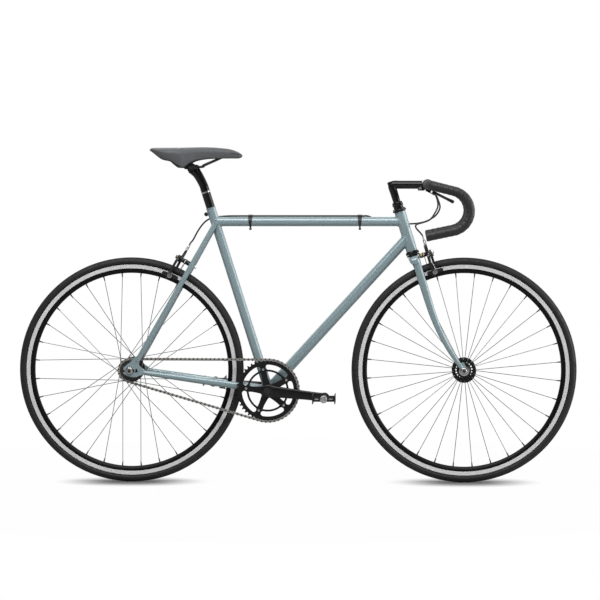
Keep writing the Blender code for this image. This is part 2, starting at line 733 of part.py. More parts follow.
def build_headset_cups(frame):
    spigot = HEAD_TUBE_BORE - GAP
    bore = bore_radius(STEERER_RADIUS, RUNNING, TUBE_SIDES)
    top = HEAD_TUBE_LENGTH
    upper = (
        (bore, top - CUP_SPIGOT),
        (spigot, top - CUP_SPIGOT),
        (spigot, top + GAP),
        (CUP_RADIUS, top + GAP),
        (CUP_RADIUS, top + CUP_HEIGHT * 0.7),
        (bore, top + CUP_HEIGHT * 0.7),
    )
    lower = (
        (bore, CUP_SPIGOT),
        (spigot, CUP_SPIGOT),
        (spigot, -GAP),
        (CUP_RADIUS, -GAP),
        (CUP_RADIUS, -CUP_HEIGHT),
        (bore, -CUP_HEIGHT),
    )
    piece("headset_upper_cup", turned(upper, TUBE_SIDES, STEERING, closed=True), "black_alloy", frame)
    piece("headset_lower_cup", turned(lower, TUBE_SIDES, STEERING, closed=True), "black_alloy", frame)


def build_bottom_bracket(frame):
    """A sealed cartridge: the shell's bore holds it, and its drive-side lip stops against the shell."""
    half, lip = SHELL_WIDTH / 2, 0.0025
    outer, bore = SHELL_BORE - GAP, bore_radius(SPINDLE_RADIUS, RUNNING, TUBE_SIDES)
    profile = (
        (bore, -half - lip),
        (SHELL_RADIUS - 0.0014, -half - lip),
        (SHELL_RADIUS - 0.0014, -half - GAP),
        (outer, -half - GAP),
        (outer, half),
        (bore, half),
    )
    cartridge = turned(profile, TUBE_SIDES, across(BRACKET), closed=True)
    piece("bottom_bracket_cartridge", cartridge, "black_alloy", frame)


# Wheels

HUB_SIDES = 14
THREE_SIDED = 1.3  # a three-sided wire this much wider is about as thick as the round one
FORK_END_SPREAD = (AXLE_WIDTH_FRONT + FORK_END_THICKNESS) / 2 + GAP


def spoke_angles(start):
    return [start + math.tau * i / SPOKE_COUNT for i in range(SPOKE_COUNT)]


def on_wheel(centre, angle, radius, aside):
    """A point of a wheel by its angle above forward, as seen from the right."""
    return centre + Vector((radius * math.cos(angle), aside, radius * math.sin(angle)))


def tyre_profile():
    """The casing's section, from one bead over the tread to the other and back along the inside."""
    tread = TYRE_DIAMETER / 2
    bead = RIM_HALF_WIDTH - RIM_WALL - GAP
    widest = (RIM_OUTER_RADIUS + tread) / 2 - 0.002
    outside = (
        (RIM_WELL_RADIUS + GAP, bead),
        (RIM_OUTER_RADIUS + 2 * GAP, bead),
        (widest, TYRE_HALF_WIDTH),
        (tread - 0.0050, TYRE_HALF_WIDTH * 0.76),
        (tread, TYRE_HALF_WIDTH * 0.22),
    )
    ceiling = tread - TYRE_WALL - TYRE_CROWN_THICKER
    inside = ((ceiling, TYRE_HALF_WIDTH * 0.50), (RIM_WELL_RADIUS + GAP, bead - TYRE_WALL))
    half = [*outside, *((radius, -aside) for radius, aside in outside[::-1])]
    return [*half, *((radius, -aside) for radius, aside in inside[::-1]), *inside]


def rim_profile():
    well, wall = RIM_WELL_RADIUS, RIM_HALF_WIDTH - RIM_WALL
    half = (
        (RIM_INNER_RADIUS, RIM_HUB_SIDE_HALF),
        (RIM_OUTER_RADIUS - RIM_TRACK_DEPTH, RIM_HALF_WIDTH),
        (RIM_OUTER_RADIUS, RIM_HALF_WIDTH),
        (RIM_OUTER_RADIUS, wall),
        (well, wall),
    )
    return [*half, *((radius, -aside) for radius, aside in half[::-1])]


def build_tyre_and_rim(name, centre, body, valve_angle):
    """A point of every ring is straight below the axle, where the tyre stands."""
    phase = math.pi / 2
    place = across(centre)
    tyre = turned(tyre_profile(), WHEEL_SEGMENTS, place, closed=True, phase=phase)
    piece(f"{name}_tyre", tyre, "tyre_rubber", body)

    # The tube's ring has half as many segments, so its flats come nearer the rim by this share.
    segments = WHEEL_SEGMENTS // 2
    flat = math.cos(math.pi / segments)
    low = (RIM_WELL_RADIUS + GAP) / flat + GAP
    high = TYRE_DIAMETER / 2 - TYRE_WALL - TYRE_CROWN_THICKER - GAP
    section = ((low, 0.0042), (high, 0.0045))
    profile = [*section, *((radius, -aside) for radius, aside in section[::-1])]
    tube = turned(profile, segments, place, closed=True, phase=phase)
    inner, outer = RIM_INNER_RADIUS - VALVE_LENGTH, (low + high) / 2
    valve_ends = [on_wheel(centre, valve_angle, radius, 0) for radius in (inner, outer)]
    valve = rod(*valve_ends, VALVE_RADIUS, 6)
    piece(f"{name}_inner_tube", joined(tube, valve), "tube_rubber", body)

    rim = turned(rim_profile(), WHEEL_SEGMENTS, place, closed=True, phase=phase)
    piece(f"{name}_rim", cut(rim, rod(*valve_ends, VALVE_RADIUS + GAP, 6)), "rim_alloy", body)


def spoke(centre, flange, outside, hub_angle, rim_angle):
    """From the flange's hole, round its elbow and out to the rim."""
    side = math.copysign(1, flange)
    elbow = flange + side * SPOKE_ELBOW * (1 if outside else -1)
    flat = RIM_INNER_RADIUS * math.cos(math.pi / WHEEL_SEGMENTS) - GAP
    points = (
        on_wheel(centre, hub_angle, SPOKE_CIRCLE, flange),
        on_wheel(centre, hub_angle, SPOKE_CIRCLE, elbow),
        on_wheel(centre, rim_angle, flat, side * SPOKE_OFFSET_AT_RIM),
    )
    return swept(points, SPOKE_RADIUS * THREE_SIDED, 3)


def hub_profile(half, flange, thread, axle_radius):
    """One closed section: the shell between and outside the flanges, and the bore for the axle."""
    edge = FLANGE_THICKNESS / 2
    bore = bore_radius(axle_radius, RUNNING, HUB_SIDES)
    right = (
        (bore, -half),
        (thread, -half),
        (thread, -flange - edge),
        (FLANGE_RADIUS, -flange - edge),
        (FLANGE_RADIUS, -flange + edge),
        (HUB_BARREL_RADIUS, -flange + edge + 0.004),
    )
    return [*right, *((radius, -height) for radius, height in right[::-1])]


def build_front_hub(body):
    half = AXLE_WIDTH_FRONT / 2 - CONE_LENGTH - GAP
    profile = hub_profile(half, FLANGE_SPREAD_FRONT, HUB_BARREL_RADIUS, FRONT_AXLE_RADIUS)
    hub = turned(profile, HUB_SIDES, across(FRONT_AXLE), closed=True)
    spokes = []
    for i, angle in enumerate(spoke_angles(FRONT_SPOKE_START)):
        flange = FLANGE_SPREAD_FRONT * (1 if i % 2 else -1)
        spokes.append(spoke(FRONT_AXLE, flange, True, angle, angle))
    piece("front_spoked_hub", joined(hub, gathered(spokes)), "spoke_steel", body)


def build_rear_hub(body):
    """Each spoke leaves its flange turned by three pairs of holes, forwards or backwards in turn."""
    half = AXLE_WIDTH_REAR / 2 - CONE_LENGTH - GAP
    profile = hub_profile(half, FLANGE_SPREAD_REAR, HUB_THREAD_RADIUS, REAR_AXLE_RADIUS)
    hub = turned(profile, HUB_SIDES, across(REAR_AXLE), closed=True)
    spokes = []
    turn = REAR_CROSSINGS * math.tau / (SPOKE_COUNT / 2)
    for i, angle in enumerate(spoke_angles(REAR_SPOKE_START)):
        flange = FLANGE_SPREAD_REAR * (1 if i % 2 else -1)
        leading = (i // 2) % 2 == 0
        hub_angle = angle + (turn if leading else -turn)
        spokes.append(spoke(REAR_AXLE, flange, leading, hub_angle, angle))
    piece("rear_spoked_hub", joined(hub, gathered(spokes)), "spoke_steel", body)


def build_axle(name, centre, radius, width, end_thickness, carrier):
    """The axle with its cones inside the frame ends, and its washers and nuts outside them."""
    inside = width / 2
    cone_start = inside - CONE_LENGTH
    washer = inside + end_thickness + 2 * GAP
    nut = washer + WASHER_THICKNESS
    right = (
        (radius, -nut - NUT_LENGTH - AXLE_BEYOND_NUT),
        (radius, -nut - NUT_LENGTH),
        (NUT_RADIUS, -nut - NUT_LENGTH),
        (NUT_RADIUS, -nut),
        (WASHER_RADIUS, -nut),
        (WASHER_RADIUS, -washer),
        (radius, -washer),
        (radius, -inside),
        (CONE_RADIUS, -inside),
        (CONE_RADIUS, -cone_start),
        (radius, -cone_start),
    )
    profile = [*right, *((r, -height) for r, height in right[::-1])]
    piece(name, turned(profile, 8, across(centre)), "zinc_steel", carrier)


# Drive


def chain_place(distance):
    """A point of the chain's line in the middle plane, by its distance from where it leaves the sprocket."""
    big, small = pitch_radius(RING_TEETH), pitch_radius(SPROCKET_TEETH)
    between = BRACKET - REAR_AXLE
    tilt = math.atan2(between.z, between.x)
    lean = math.asin((big - small) / CHAIN_CENTRES)
    straight = CHAIN_CENTRES * math.cos(lean)
    upper, lower = tilt + math.pi / 2 + lean, tilt - math.pi / 2 - lean
    ring_arc = (upper - lower) / math.tau * RING_TEETH * CHAIN_PITCH
    for centre, radius, angle in ((REAR_AXLE, small, upper), (BRACKET, big, lower)):
        if distance <= straight:
            along = Vector((math.sin(angle), 0, -math.cos(angle)))
            return centre + Vector((math.cos(angle), 0, math.sin(angle))) * radius + along * distance
        distance -= straight
        if centre == REAR_AXLE:
            if distance <= ring_arc:
                angle = upper - distance / (RING_TEETH * CHAIN_PITCH) * math.tau
                return BRACKET + Vector((math.cos(angle), 0, math.sin(angle))) * big
            distance -= ring_arc
    angle = lower - distance / (SPROCKET_TEETH * CHAIN_PITCH) * math.tau
    return REAR_AXLE + Vector((math.cos(angle), 0, math.sin(angle))) * small


def chain_pins():
    return [chain_place(i * CHAIN_PITCH) for i in range(CHAIN_LINKS)]


def roller_angle(centre, teeth):
    """Where a roller sits on the wheel at centre, so that the teeth can stand between the rollers."""
    radius = pitch_radius(teeth)
    spots = [pin - centre for pin in chain_pins()]
    seated = [spot for spot in spots if abs(spot.length - radius) < 1e-6]
    middle = seated[len(seated) // 2]
    return math.atan2(middle.z, middle.x)


def toothed_outline(centre, teeth):
    radius = pitch_radius(teeth)
    first = roller_angle(centre, teeth)
    half_pitch = math.pi / teeth
    outline = []
    for i in range(teeth):
        roller = first + 2 * i * half_pitch
        root = radius - TOOTH_ROOT_DEPTH
        tip = radius + TOOTH_TIP_HEIGHT
        for angle, out in (
            (roller - TOOTH_ROOT_HALF / root, root),
            (roller + TOOTH_ROOT_HALF / root, root),
            (roller + half_pitch - TOOTH_TIP_HALF / tip, tip),
            (roller + half_pitch + TOOTH_TIP_HALF / tip, tip),
        ):
            outline.append((out * math.cos(angle), out * math.sin(angle)))
    return outline


def drive_side(centre):
    """Local x forward, y up and z towards the rider's right."""
    return matrix(centre, FORWARD, Vector((0, 0, 1)), -LEFT)


def arc(radius, start, end, steps):
    angles = [start + (end - start) * i / steps for i in range(steps + 1)]
    return [(radius * math.cos(angle), radius * math.sin(angle)) for angle in angles]


def build_chain(frame):
    """Two runs of side plates, with a roller between them at every pin."""
    pins = chain_pins()
    sides = []
    for _, side in SIDES:
        rings = []
        for i, pin in enumerate(pins):
            before, after = pin - pins[i - 1], pins[(i + 1) % CHAIN_LINKS] - pin
            if before.angle(after) < math.radians(0.5):
                continue  # the chain runs straight here
            along = (before + after).normalized()
            out = along.cross(LEFT)
            inside, outside = CHAIN_PLATE_INSIDE * side, CHAIN_PLATE_OUTSIDE * side
            corners = ((-1, inside), (1, inside), (1, outside), (-1, outside))
            line = pin - LEFT * CHAIN_LINE
            rings.append([line + out * CHAIN_HALF_HEIGHT * high + LEFT * aside for high, aside in corners])
        sides.append(loft(rings, closed=True))
    reach = LEFT * (CHAIN_PLATE_INSIDE + CHAIN_PLATE_OUTSIDE) / 2
    rollers = [
        rod(pin - LEFT * CHAIN_LINE - reach, pin - LEFT * CHAIN_LINE + reach, CHAIN_ROLLER_RADIUS, 3)
        for pin in pins
    ]
    piece("chain", joined(gathered(sides), gathered(rollers)), "chain_steel", frame)


def build_sprocket(body):
    """The fixed sprocket with the lockring that is tightened against it, screwed onto the hub."""
    low, high = CHAIN_LINE - TOOTH_THICKNESS / 2, CHAIN_LINE + TOOTH_THICKNESS / 2
    place = drive_side(REAR_AXLE)
    sprocket = plate(toothed_outline(REAR_AXLE, SPROCKET_TEETH), low, high, place)
    bore, end = HUB_THREAD_RADIUS + GAP, high + LOCKRING_THICKNESS
    lockring = turned(((LOCKRING_RADIUS, CHAIN_LINE), (LOCKRING_RADIUS, end)), HUB_SIDES, place)
    hole = turned(((bore, low - TOOTH_THICKNESS), (bore, end + TOOTH_THICKNESS)), HUB_SIDES, place)
    piece("sprocket", cut(joined(sprocket, lockring), hole), "chain_steel", body)


def build_chainring(body):
    low, high = CHAIN_LINE - TOOTH_THICKNESS / 2, CHAIN_LINE + TOOTH_THICKNESS / 2
    place = drive_side(BRACKET)
    ring = plate(toothed_outline(BRACKET, RING_TEETH), low, high, place)
    tools = [plate(arc(RING_INNER_RADIUS, 0, math.tau * 23 / 24, 23), low - GAP, high + GAP, place)]
    inner, outer, half = RING_SLOT
    for i in range(SPIDER_ARMS):
        middle = SPIDER_START + math.tau * (i + 0.5) / SPIDER_ARMS
        slot = arc(outer, middle - half, middle + half, 4) + arc(inner, middle + half, middle - half, 3)
        tools.append(plate(slot, low - GAP, high + GAP, place))
    piece("chainring", cut(ring, gathered(tools)), "black_alloy", body)


def spider_outline():
    waist, waist_turn = SPIDER_WAIST
    tip, tip_turn = SPIDER_TIP
    outline = []
    for i in range(SPIDER_ARMS):
        middle = SPIDER_START + math.tau * i / SPIDER_ARMS
        for turn, radius in (
            (-math.pi / SPIDER_ARMS, SPIDER_ROOT_RADIUS),
            (-waist_turn, waist),
            (-tip_turn, tip),
            (tip_turn, tip),
            (waist_turn, waist),
        ):
            outline.append((radius * math.cos(middle + turn), radius * math.sin(middle + turn)))
    return outline


def crank_eye(side):
    """The pedal's hole in the crank. The right crank points forward and the left one back."""
    angle = -CRANK_DOWN if side < 0 else math.pi - CRANK_DOWN
    along = Vector((math.cos(angle), 0, math.sin(angle)))
    return BRACKET + along * CRANK_LENGTH + LEFT * side * CRANK_EYE_CENTRE


def crank_shape(side):
    hub = BRACKET + LEFT * side * CRANK_HUB_CENTRE
    eye = crank_eye(side)
    inward = LEFT * side * -1
    spindle_side = BRACKET + LEFT * side * (CHAIN_LINE + 0.002)
    boss = rod(spindle_side, hub - inward * CRANK_BOSS_HALF, CRANK_HUB_RADIUS, 12)
    stations = [hub.lerp(eye, share) for share in CRANK_ARM_STATIONS]
    arm = swept(stations, CRANK_ARM_RADII, 8)
    end = rod(eye + inward * CRANK_EYE_HALF, eye - inward * CRANK_EYE_HALF, CRANK_EYE_RADIUS, 10)
    pedal_end = eye - inward * (CRANK_EYE_HALF + PEDAL_WIDTH - PEDAL_SPINDLE_SHORT)
    spindle = rod(eye, pedal_end, PEDAL_SPINDLE_RADIUS, 8, PEDAL_SPINDLE_RADIUS * PEDAL_SPINDLE_TAPER)
    hole = rod(BRACKET, hub - inward * CRANK_EYE_CENTRE, SPINDLE_RADIUS + GAP, 12)
    return joined(boss, arm, end, spindle), hole


def build_crankset(body):
    half = SPINDLE_HALF_LENGTH
    tapered = half - SPINDLE_TAPER
    profile = (
        (SPINDLE_END_RADIUS, -half),
        (SPINDLE_RADIUS, -tapered),
        (SPINDLE_RADIUS, tapered),
        (SPINDLE_END_RADIUS, half),
    )
    piece("crank_spindle", turned(profile, 12, across(BRACKET)), "zinc_steel", body)

    left, hole = crank_shape(1)
    piece("crank_left", cut(left, hole), "black_alloy", body)
    right, hole = crank_shape(-1)
    start = CHAIN_LINE + TOOTH_THICKNESS / 2 + GAP
    spider = plate(spider_outline(), start, start + SPIDER_THICKNESS, drive_side(BRACKET))
    piece("crank_right", cut(joined(right, spider), hole), "black_alloy", body)
    build_chainring(body)


def build_pedal(name, side, body):
    """A cage of two toothed plates on cross bars, round a barrel that turns on the crank's spindle."""
    eye = crank_eye(side)
    place = matrix(eye, FORWARD, LEFT * side, Vector((0, 0, 1)) * side)
    start = CRANK_EYE_HALF + PEDAL_FROM_CRANK
    end = start + PEDAL_WIDTH
    half_length, half_height = PEDAL_LENGTH / 2, PEDAL_HEIGHT / 2
    barrel = rod(place @ Vector((0, start, 0)), place @ Vector((0, end, 0)), PEDAL_BARREL_RADIUS, 8)
    shapes = [barrel]
    bar_width, bar_height = PEDAL_BAR
    for offset in PEDAL_BARS:
        near = (-half_length, start + offset, -bar_height / 2)
        shapes.append(block(near, (half_length, start + offset + bar_width, bar_height / 2), place))
    for sign in (-1, 1):
        near, far = sorted((sign * half_length, sign * (half_length - PEDAL_PLATE)))
        shapes.append(block((near, start + 0.004, -half_height), (far, end - 0.004, half_height), place))
    bore = rod(
        eye,
        place @ Vector((0, end - PEDAL_CAP, 0)),
        bore_radius(PEDAL_SPINDLE_RADIUS, RUNNING, 8),
        8,
        bore_radius(PEDAL_SPINDLE_RADIUS * PEDAL_SPINDLE_TAPER, RUNNING, 8),
    )
    piece(name, cut(joined(*shapes), bore), "black_alloy", body)


# Fork, headset and stem


def build_fork_steerer(fork):
    """Steerer, crown race and crown are one brazed piece. The blades stand under the crown's shoulders."""
    race = -CUP_HEIGHT - RUNNING
    crown_top = race - RACE_HEIGHT
    tube = ((STEERER_RADIUS, crown_top - CROWN_HEIGHT / 2), (STEERER_RADIUS, STEERER_TOP))
    steerer = turned(tube, TUBE_SIDES, STEERING)
    seat_radius = CUP_RADIUS - 0.0017
    seat = turned(((seat_radius, crown_top - GAP), (seat_radius, race)), TUBE_SIDES, STEERING)
    low = crown_top - CROWN_HEIGHT
    shoulder = race - CROWN_SHOULDER
    half = (
        (0.0200, CROWN_DEPTH, low, crown_top),
        (0.0230, CROWN_DEPTH - 0.0010, shoulder, crown_top),
        (0.0380, CROWN_DEPTH - 0.0030, shoulder, crown_top - 0.004),
        (0.0440, CROWN_DEPTH - 0.0070, shoulder, crown_top - 0.011),
    )
    rings = []
    for aside, depth, bottom, top in [*((-section[0], *section[1:]) for section in half[::-1]), *half]:
        corner = 0.35 * depth
        outline = (
            (depth, bottom),
            (depth, top - corner),
            (depth - corner, top),
            (corner - depth, top),
            (-depth, top - corner),
            (-depth, bottom),
        )
        rings.append([STEERING @ Vector((x, aside, z)) for x, z in outline])
    bore_low, bore_high = low + 2 * GAP, STEERER_TOP + CROWN_HEIGHT
    bore = turned(((STEERER_BORE, bore_low), (STEERER_BORE, bore_high)), TUBE_SIDES, STEERING)
    bolt = clearing(
        STEERING @ Vector((-2 * CROWN_DEPTH, 0, BRAKE_PIVOT_FRONT)),
        STEERING @ Vector((2 * CROWN_DEPTH, 0, BRAKE_PIVOT_FRONT)),
        BRAKE_BOLT_RADIUS,
        8,
    )
    crown = joined(steerer, seat, loft(rings))
    piece("fork_steerer_and_crown", cut(crown, bore, bolt), "frame_paint", fork)


BLADE_START = CUP_HEIGHT + RUNNING + CROWN_SHOULDER + GAP  # down the steering axis


def blade_path(side):
    """Straight down beside the wheel, then curved forward by the rake."""
    axle_down = FORK_LENGTH
    start = BLADE_START
    sweep = math.acos(1 - (FORK_RAKE - BLADE_AHEAD) / BLADE_BEND_RADIUS)
    bend_start = axle_down - BLADE_BEND_RADIUS * math.sin(sweep)
    path = [(start, BLADE_AHEAD), (bend_start, BLADE_AHEAD)]
    steps = 6
    for i in range(1, steps + 1):
        angle = sweep * i / steps * 0.95
        down = bend_start + BLADE_BEND_RADIUS * math.sin(angle)
        path.append((down, BLADE_AHEAD + BLADE_BEND_RADIUS * (1 - math.cos(angle))))
    points = []
    for down, ahead in path:
        share = (down - start) / (axle_down - start)
        aside = BLADE_SPREAD_TOP + (FORK_END_SPREAD - BLADE_SPREAD_TOP) * share
        points.append(STEERING @ Vector((ahead, side * aside, -down)))
    return points


def build_fork_blade(name, side, fork):
    points = blade_path(side)
    deep, wide = BLADE_TOP
    radii = []
    for i in range(len(points)):
        share = max(0.0, (i - 1) / (len(points) - 2))
        radii.append((deep + (BLADE_TIP_RADIUS - deep) * share, wide + (BLADE_TIP_RADIUS - wide) * share))
    rise = (points[0] - points[1]).normalized() * 0.004
    level = STEERING @ Matrix.Translation((0, 0, -BLADE_START))
    reach = 2 * BLADE_SPREAD_TOP
    above = block((-reach, -reach, 0), (reach, reach, reach), level)
    blade = cut(swept([points[0] + rise, *points[1:]], radii, 10), above)
    place = matrix(FRONT_AXLE, STEER_FORWARD, STEER_UP, -LEFT)
    middle = -side * FORK_END_SPREAD
    low, high = middle - FORK_END_THICKNESS / 2, middle + FORK_END_THICKNESS / 2
    half, radius = FRONT_AXLE_RADIUS + GAP, FORK_END_RADIUS
    outline = (
        (-radius, FORK_END_RISE),
        (-radius, -0.004),
        (-radius * 0.75, -FORK_END_DROP + 0.001),
        (-half, -FORK_END_DROP),
        (-half, half * 0.4),
        (-half * 0.5, half),
        (half * 0.5, half),
        (half, half * 0.4),
        (half, -FORK_END_DROP),
        (radius * 0.75, -FORK_END_DROP + 0.001),
        (radius, -0.004),
        (radius * 0.4, FORK_END_RISE),
    )
    piece(name, joined(blade, plate(outline, low, high, place)), "frame_paint", fork)


def build_headset_top(fork):
    """The adjusting race and the locknut, screwed onto the steerer above the upper cup."""
    bore = STEERER_RADIUS + GAP
    level = HEAD_TUBE_LENGTH + CUP_HEIGHT * 0.7 + RUNNING
    profile = [(bore, level)]
    for beyond, height in zip(LOCKNUT_BEYOND_STEERER, LOCKNUT_HEIGHTS):
        radius = STEERER_RADIUS + beyond
        profile += [(radius, level), (radius, level + height)]
        level += height
    profile.append((bore, level))
    rings = turned(profile, TUBE_SIDES, STEERING, closed=True)
    piece("headset_race_and_locknut", rings, "black_alloy", fork)


def build_stem(fork):
    """Quill, level extension and the split clamp for the bar, with its pinch bolt behind the bar."""
    centre = BAR_CENTRE
    corner = centre - FORWARD * STEM_LENGTH
    low, high = HEAD_TUBE_LENGTH - QUILL_DEPTH, STEM_RISE + STEM_RADIUS * 0.85
    quill = turned(((QUILL_RADIUS, low), (QUILL_RADIUS, high)), TUBE_SIDES, STEERING)
    extension = rod(corner - FORWARD * QUILL_RADIUS, centre, STEM_RADIUS, TUBE_SIDES)
    half = LEFT * STEM_CLAMP_HALF
    clamp = rod(centre - half, centre + half, STEM_CLAMP_RADIUS, TUBE_SIDES)
    place = matrix(centre, FORWARD, LEFT, Vector((0, 0, 1)))
    ears = block(*STEM_EARS, place)
    bolt_at = place @ Vector(STEM_BOLT_PLACE)
    reach = LEFT * STEM_BOLT_HALF
    bolt = rod(bolt_at - reach, bolt_at + reach, STEM_BOLT_RADIUS, 8)
    bore = clearing(centre - half * 2, centre + half * 2, BAR_CENTRE_RADIUS, TUBE_SIDES)
    piece("stem", cut(joined(quill, extension, clamp, ears, bolt), bore), "black_paint", fork)


BAR_SIDES = 8


def bar_path(side, start):
    """Half of the bar's line, from start along the tops to the end of the drop."""
    hook_x, hook_z = HOOK_CENTRE
    distance = math.hypot(hook_x, hook_z)
    dip = math.atan2(hook_z, hook_x) + math.asin(HOOK_RADIUS / distance)
    ramp = Vector((math.cos(dip), 0, math.sin(dip)))
    points = [Vector((0, start, 0)), Vector((0, BAR_HALF_WIDTH - BAR_CORNER, 0))]
    for i in (1, 2, 3):
        angle = math.pi / 2 * i / 3
        ahead, aside = BAR_CORNER * (1 - math.cos(angle)), BAR_CORNER * math.sin(angle)
        points.append(ramp * ahead * 0.75 + Vector((0, BAR_HALF_WIDTH - BAR_CORNER + aside, 0)))
    hook = Vector((hook_x, BAR_HALF_WIDTH, hook_z))
    top, bottom = dip + math.pi / 2, DROP_TAIL_RISE - math.pi / 2
    steps = 6
    for i in range(steps + 1):
        angle = top + (bottom - top) * i / steps
        points.append(hook + Vector((math.cos(angle), 0, math.sin(angle))) * HOOK_RADIUS)
    tail = Vector((-math.cos(DROP_TAIL_RISE), 0, -math.sin(DROP_TAIL_RISE)))
    points.append(points[-1] + tail * DROP_TAIL)
    return [BAR_CENTRE + Vector((p.x, p.y * side, p.z)) for p in points]


def build_handlebar(fork):
    left, right = bar_path(1, BAR_CENTRE_HALF), bar_path(-1, BAR_CENTRE_HALF)
    for half in (left, right):
        half.insert(1, half[0] + (half[1] - half[0]).normalized() * 0.006)
    inner = [BAR_CENTRE_RADIUS, BAR_RADIUS]
    radii = [*inner, *[BAR_RADIUS] * (len(left) - 2)]
    piece("handlebar", swept(right[::-1] + left, radii[::-1] + radii, BAR_SIDES), "black_alloy", fork)
    for name, side in SIDES:
        path = bar_path(side, TAPE_START)
        end = (path[-1] - path[-2]).normalized()
        path[-1] = path[-1] + end * 0.0005
        tape = swept(path, TAPE_RADIUS, BAR_SIDES, bore=bore_radius(BAR_RADIUS, GAP, BAR_SIDES))
        piece(f"bar_tape_{name}", tape, "bar_tape", fork)


# Brakes


def lever_place(side):
    """Local x forward and down from the bar, local y out along the bar, local z square to both."""
    ahead = Vector((math.cos(LEVER_TILT), 0, -math.sin(LEVER_TILT)))
    up = Vector((math.sin(LEVER_TILT), 0, math.cos(LEVER_TILT)))
    return matrix(BAR_CENTRE, ahead, LEFT * side, up)


def build_lever_bracket(name, side, fork):
    """A band round the bar, with two lugs that hold the blade's pin."""
    place = lever_place(side)
    near, far = LEVER_CLAMP
    x, y, z = LEVER_PIVOT
    half, lug = LEVER_BLADE_THICKNESS / 2 + RUNNING, LEVER_LUG
    band = rod(place @ Vector((0, near, 0)), place @ Vector((0, far, 0)), LEVER_CLAMP_RADIUS, 12)
    low, high = z - half - lug, z + half + lug
    shapes = [
        band,
        block((0.002, near, low), (x - 0.009, far, -0.006), place),
        block((0.012, near, low), (x + 0.006, far, low + lug), place),
        block((0.012, near, high - lug), (x + 0.006, far, high), place),
        rod(place @ Vector((x, y, low)), place @ Vector((x, y, high)), LEVER_PIN_RADIUS, 8),
    ]
    bore = clearing(place @ Vector((0, near - 0.01, 0)), place @ Vector((0, far + 0.01, 0)), BAR_RADIUS, 12)
    piece(name, cut(joined(*shapes), bore), "black_alloy", fork)


def build_lever_blade(name, side, body):
    place = lever_place(side)
    x, y, z = LEVER_PIVOT
    half = LEVER_BLADE_THICKNESS / 2
    outline = strip(LEVER_BLADE, LEVER_BLADE_WIDTH)
    pin_ends = [place @ Vector((x, y, z + 2 * end)) for end in (-half, half)]
    knuckle_ends = [place @ Vector((x, y, z + end)) for end in (-half, half)]
    hole = clearing(*pin_ends, LEVER_PIN_RADIUS, 8, RUNNING)
    knuckle = rod(*knuckle_ends, LEVER_BLADE_WIDTH * 0.55, 10)
    blade = plate(outline, z - half, z + half, place)
    piece(name, cut(joined(knuckle, blade), hole), "black_paint", body)


def build_brake_bolt(name, place, start, pad_out, carrier):
    """Runs through the frame and both arms, with a nut at each end."""
    arms_end = pad_out + BRAKE_ARM_THICKNESS + 2 * GAP
    arms_start = pad_out - BRAKE_ARM_THICKNESS - 2 * GAP
    bolt = BRAKE_BOLT_RADIUS
    nut, spring_seat, front_nut = BRAKE_NUT_RADII
    profile = (
        (nut, -start - front_nut),
        (nut, -start - GAP),
        (bolt, -start - GAP),
        (bolt, start + GAP),
        (nut, start + GAP),
        (nut, start + nut),
        (spring_seat, start + spring_seat),
        (front_nut, arms_start),
        (bolt, arms_start),
        (bolt, arms_end),
        (front_nut, arms_end),
        (front_nut, arms_end + front_nut),
    )
    along = matrix(place.translation, place.col[1].xyz, place.col[2].xyz, place.col[0].xyz)
    piece(name, turned(profile, 8, along), "zinc_steel", carrier)


def inner_arm_outline(leg_in, leg_out, foot):
    """Horn for the cable's adjuster and leg on the same side, which the cable pushes in from above."""
    return (
        (-0.036, 0.026),
        (-0.024, 0.026),
        (-0.004, 0.0100),
        (0.006, 0.0085),
        (0.0085, -0.003),
        (0, -0.0095),
        (-0.010, -0.0085),
        (-leg_in, -0.018),
        (-leg_in, foot),
        (-leg_out, foot),
        (-leg_out, -0.001),
        (-0.038, 0.012),
    )


def outer_arm_outline(leg_in, leg_out, foot):
    """A lobe below the adjuster, where the cable is clamped, and the leg on the wheel's other side."""
    return (
        (-0.039, 0.000),
        (-0.029, 0.004),
        (-0.006, 0.0085),
        (0.006, 0.0095),
        (leg_out - 0.008, 0.003),
        (leg_out, -0.012),
        (leg_out, foot),
        (leg_in, foot),
        (leg_in, -0.017),
        (0.010, -0.0085),
        (0, -0.0095),
        (-0.010, -0.0075),
        (-0.029, -0.013),
        (-0.039, -0.012),
    )


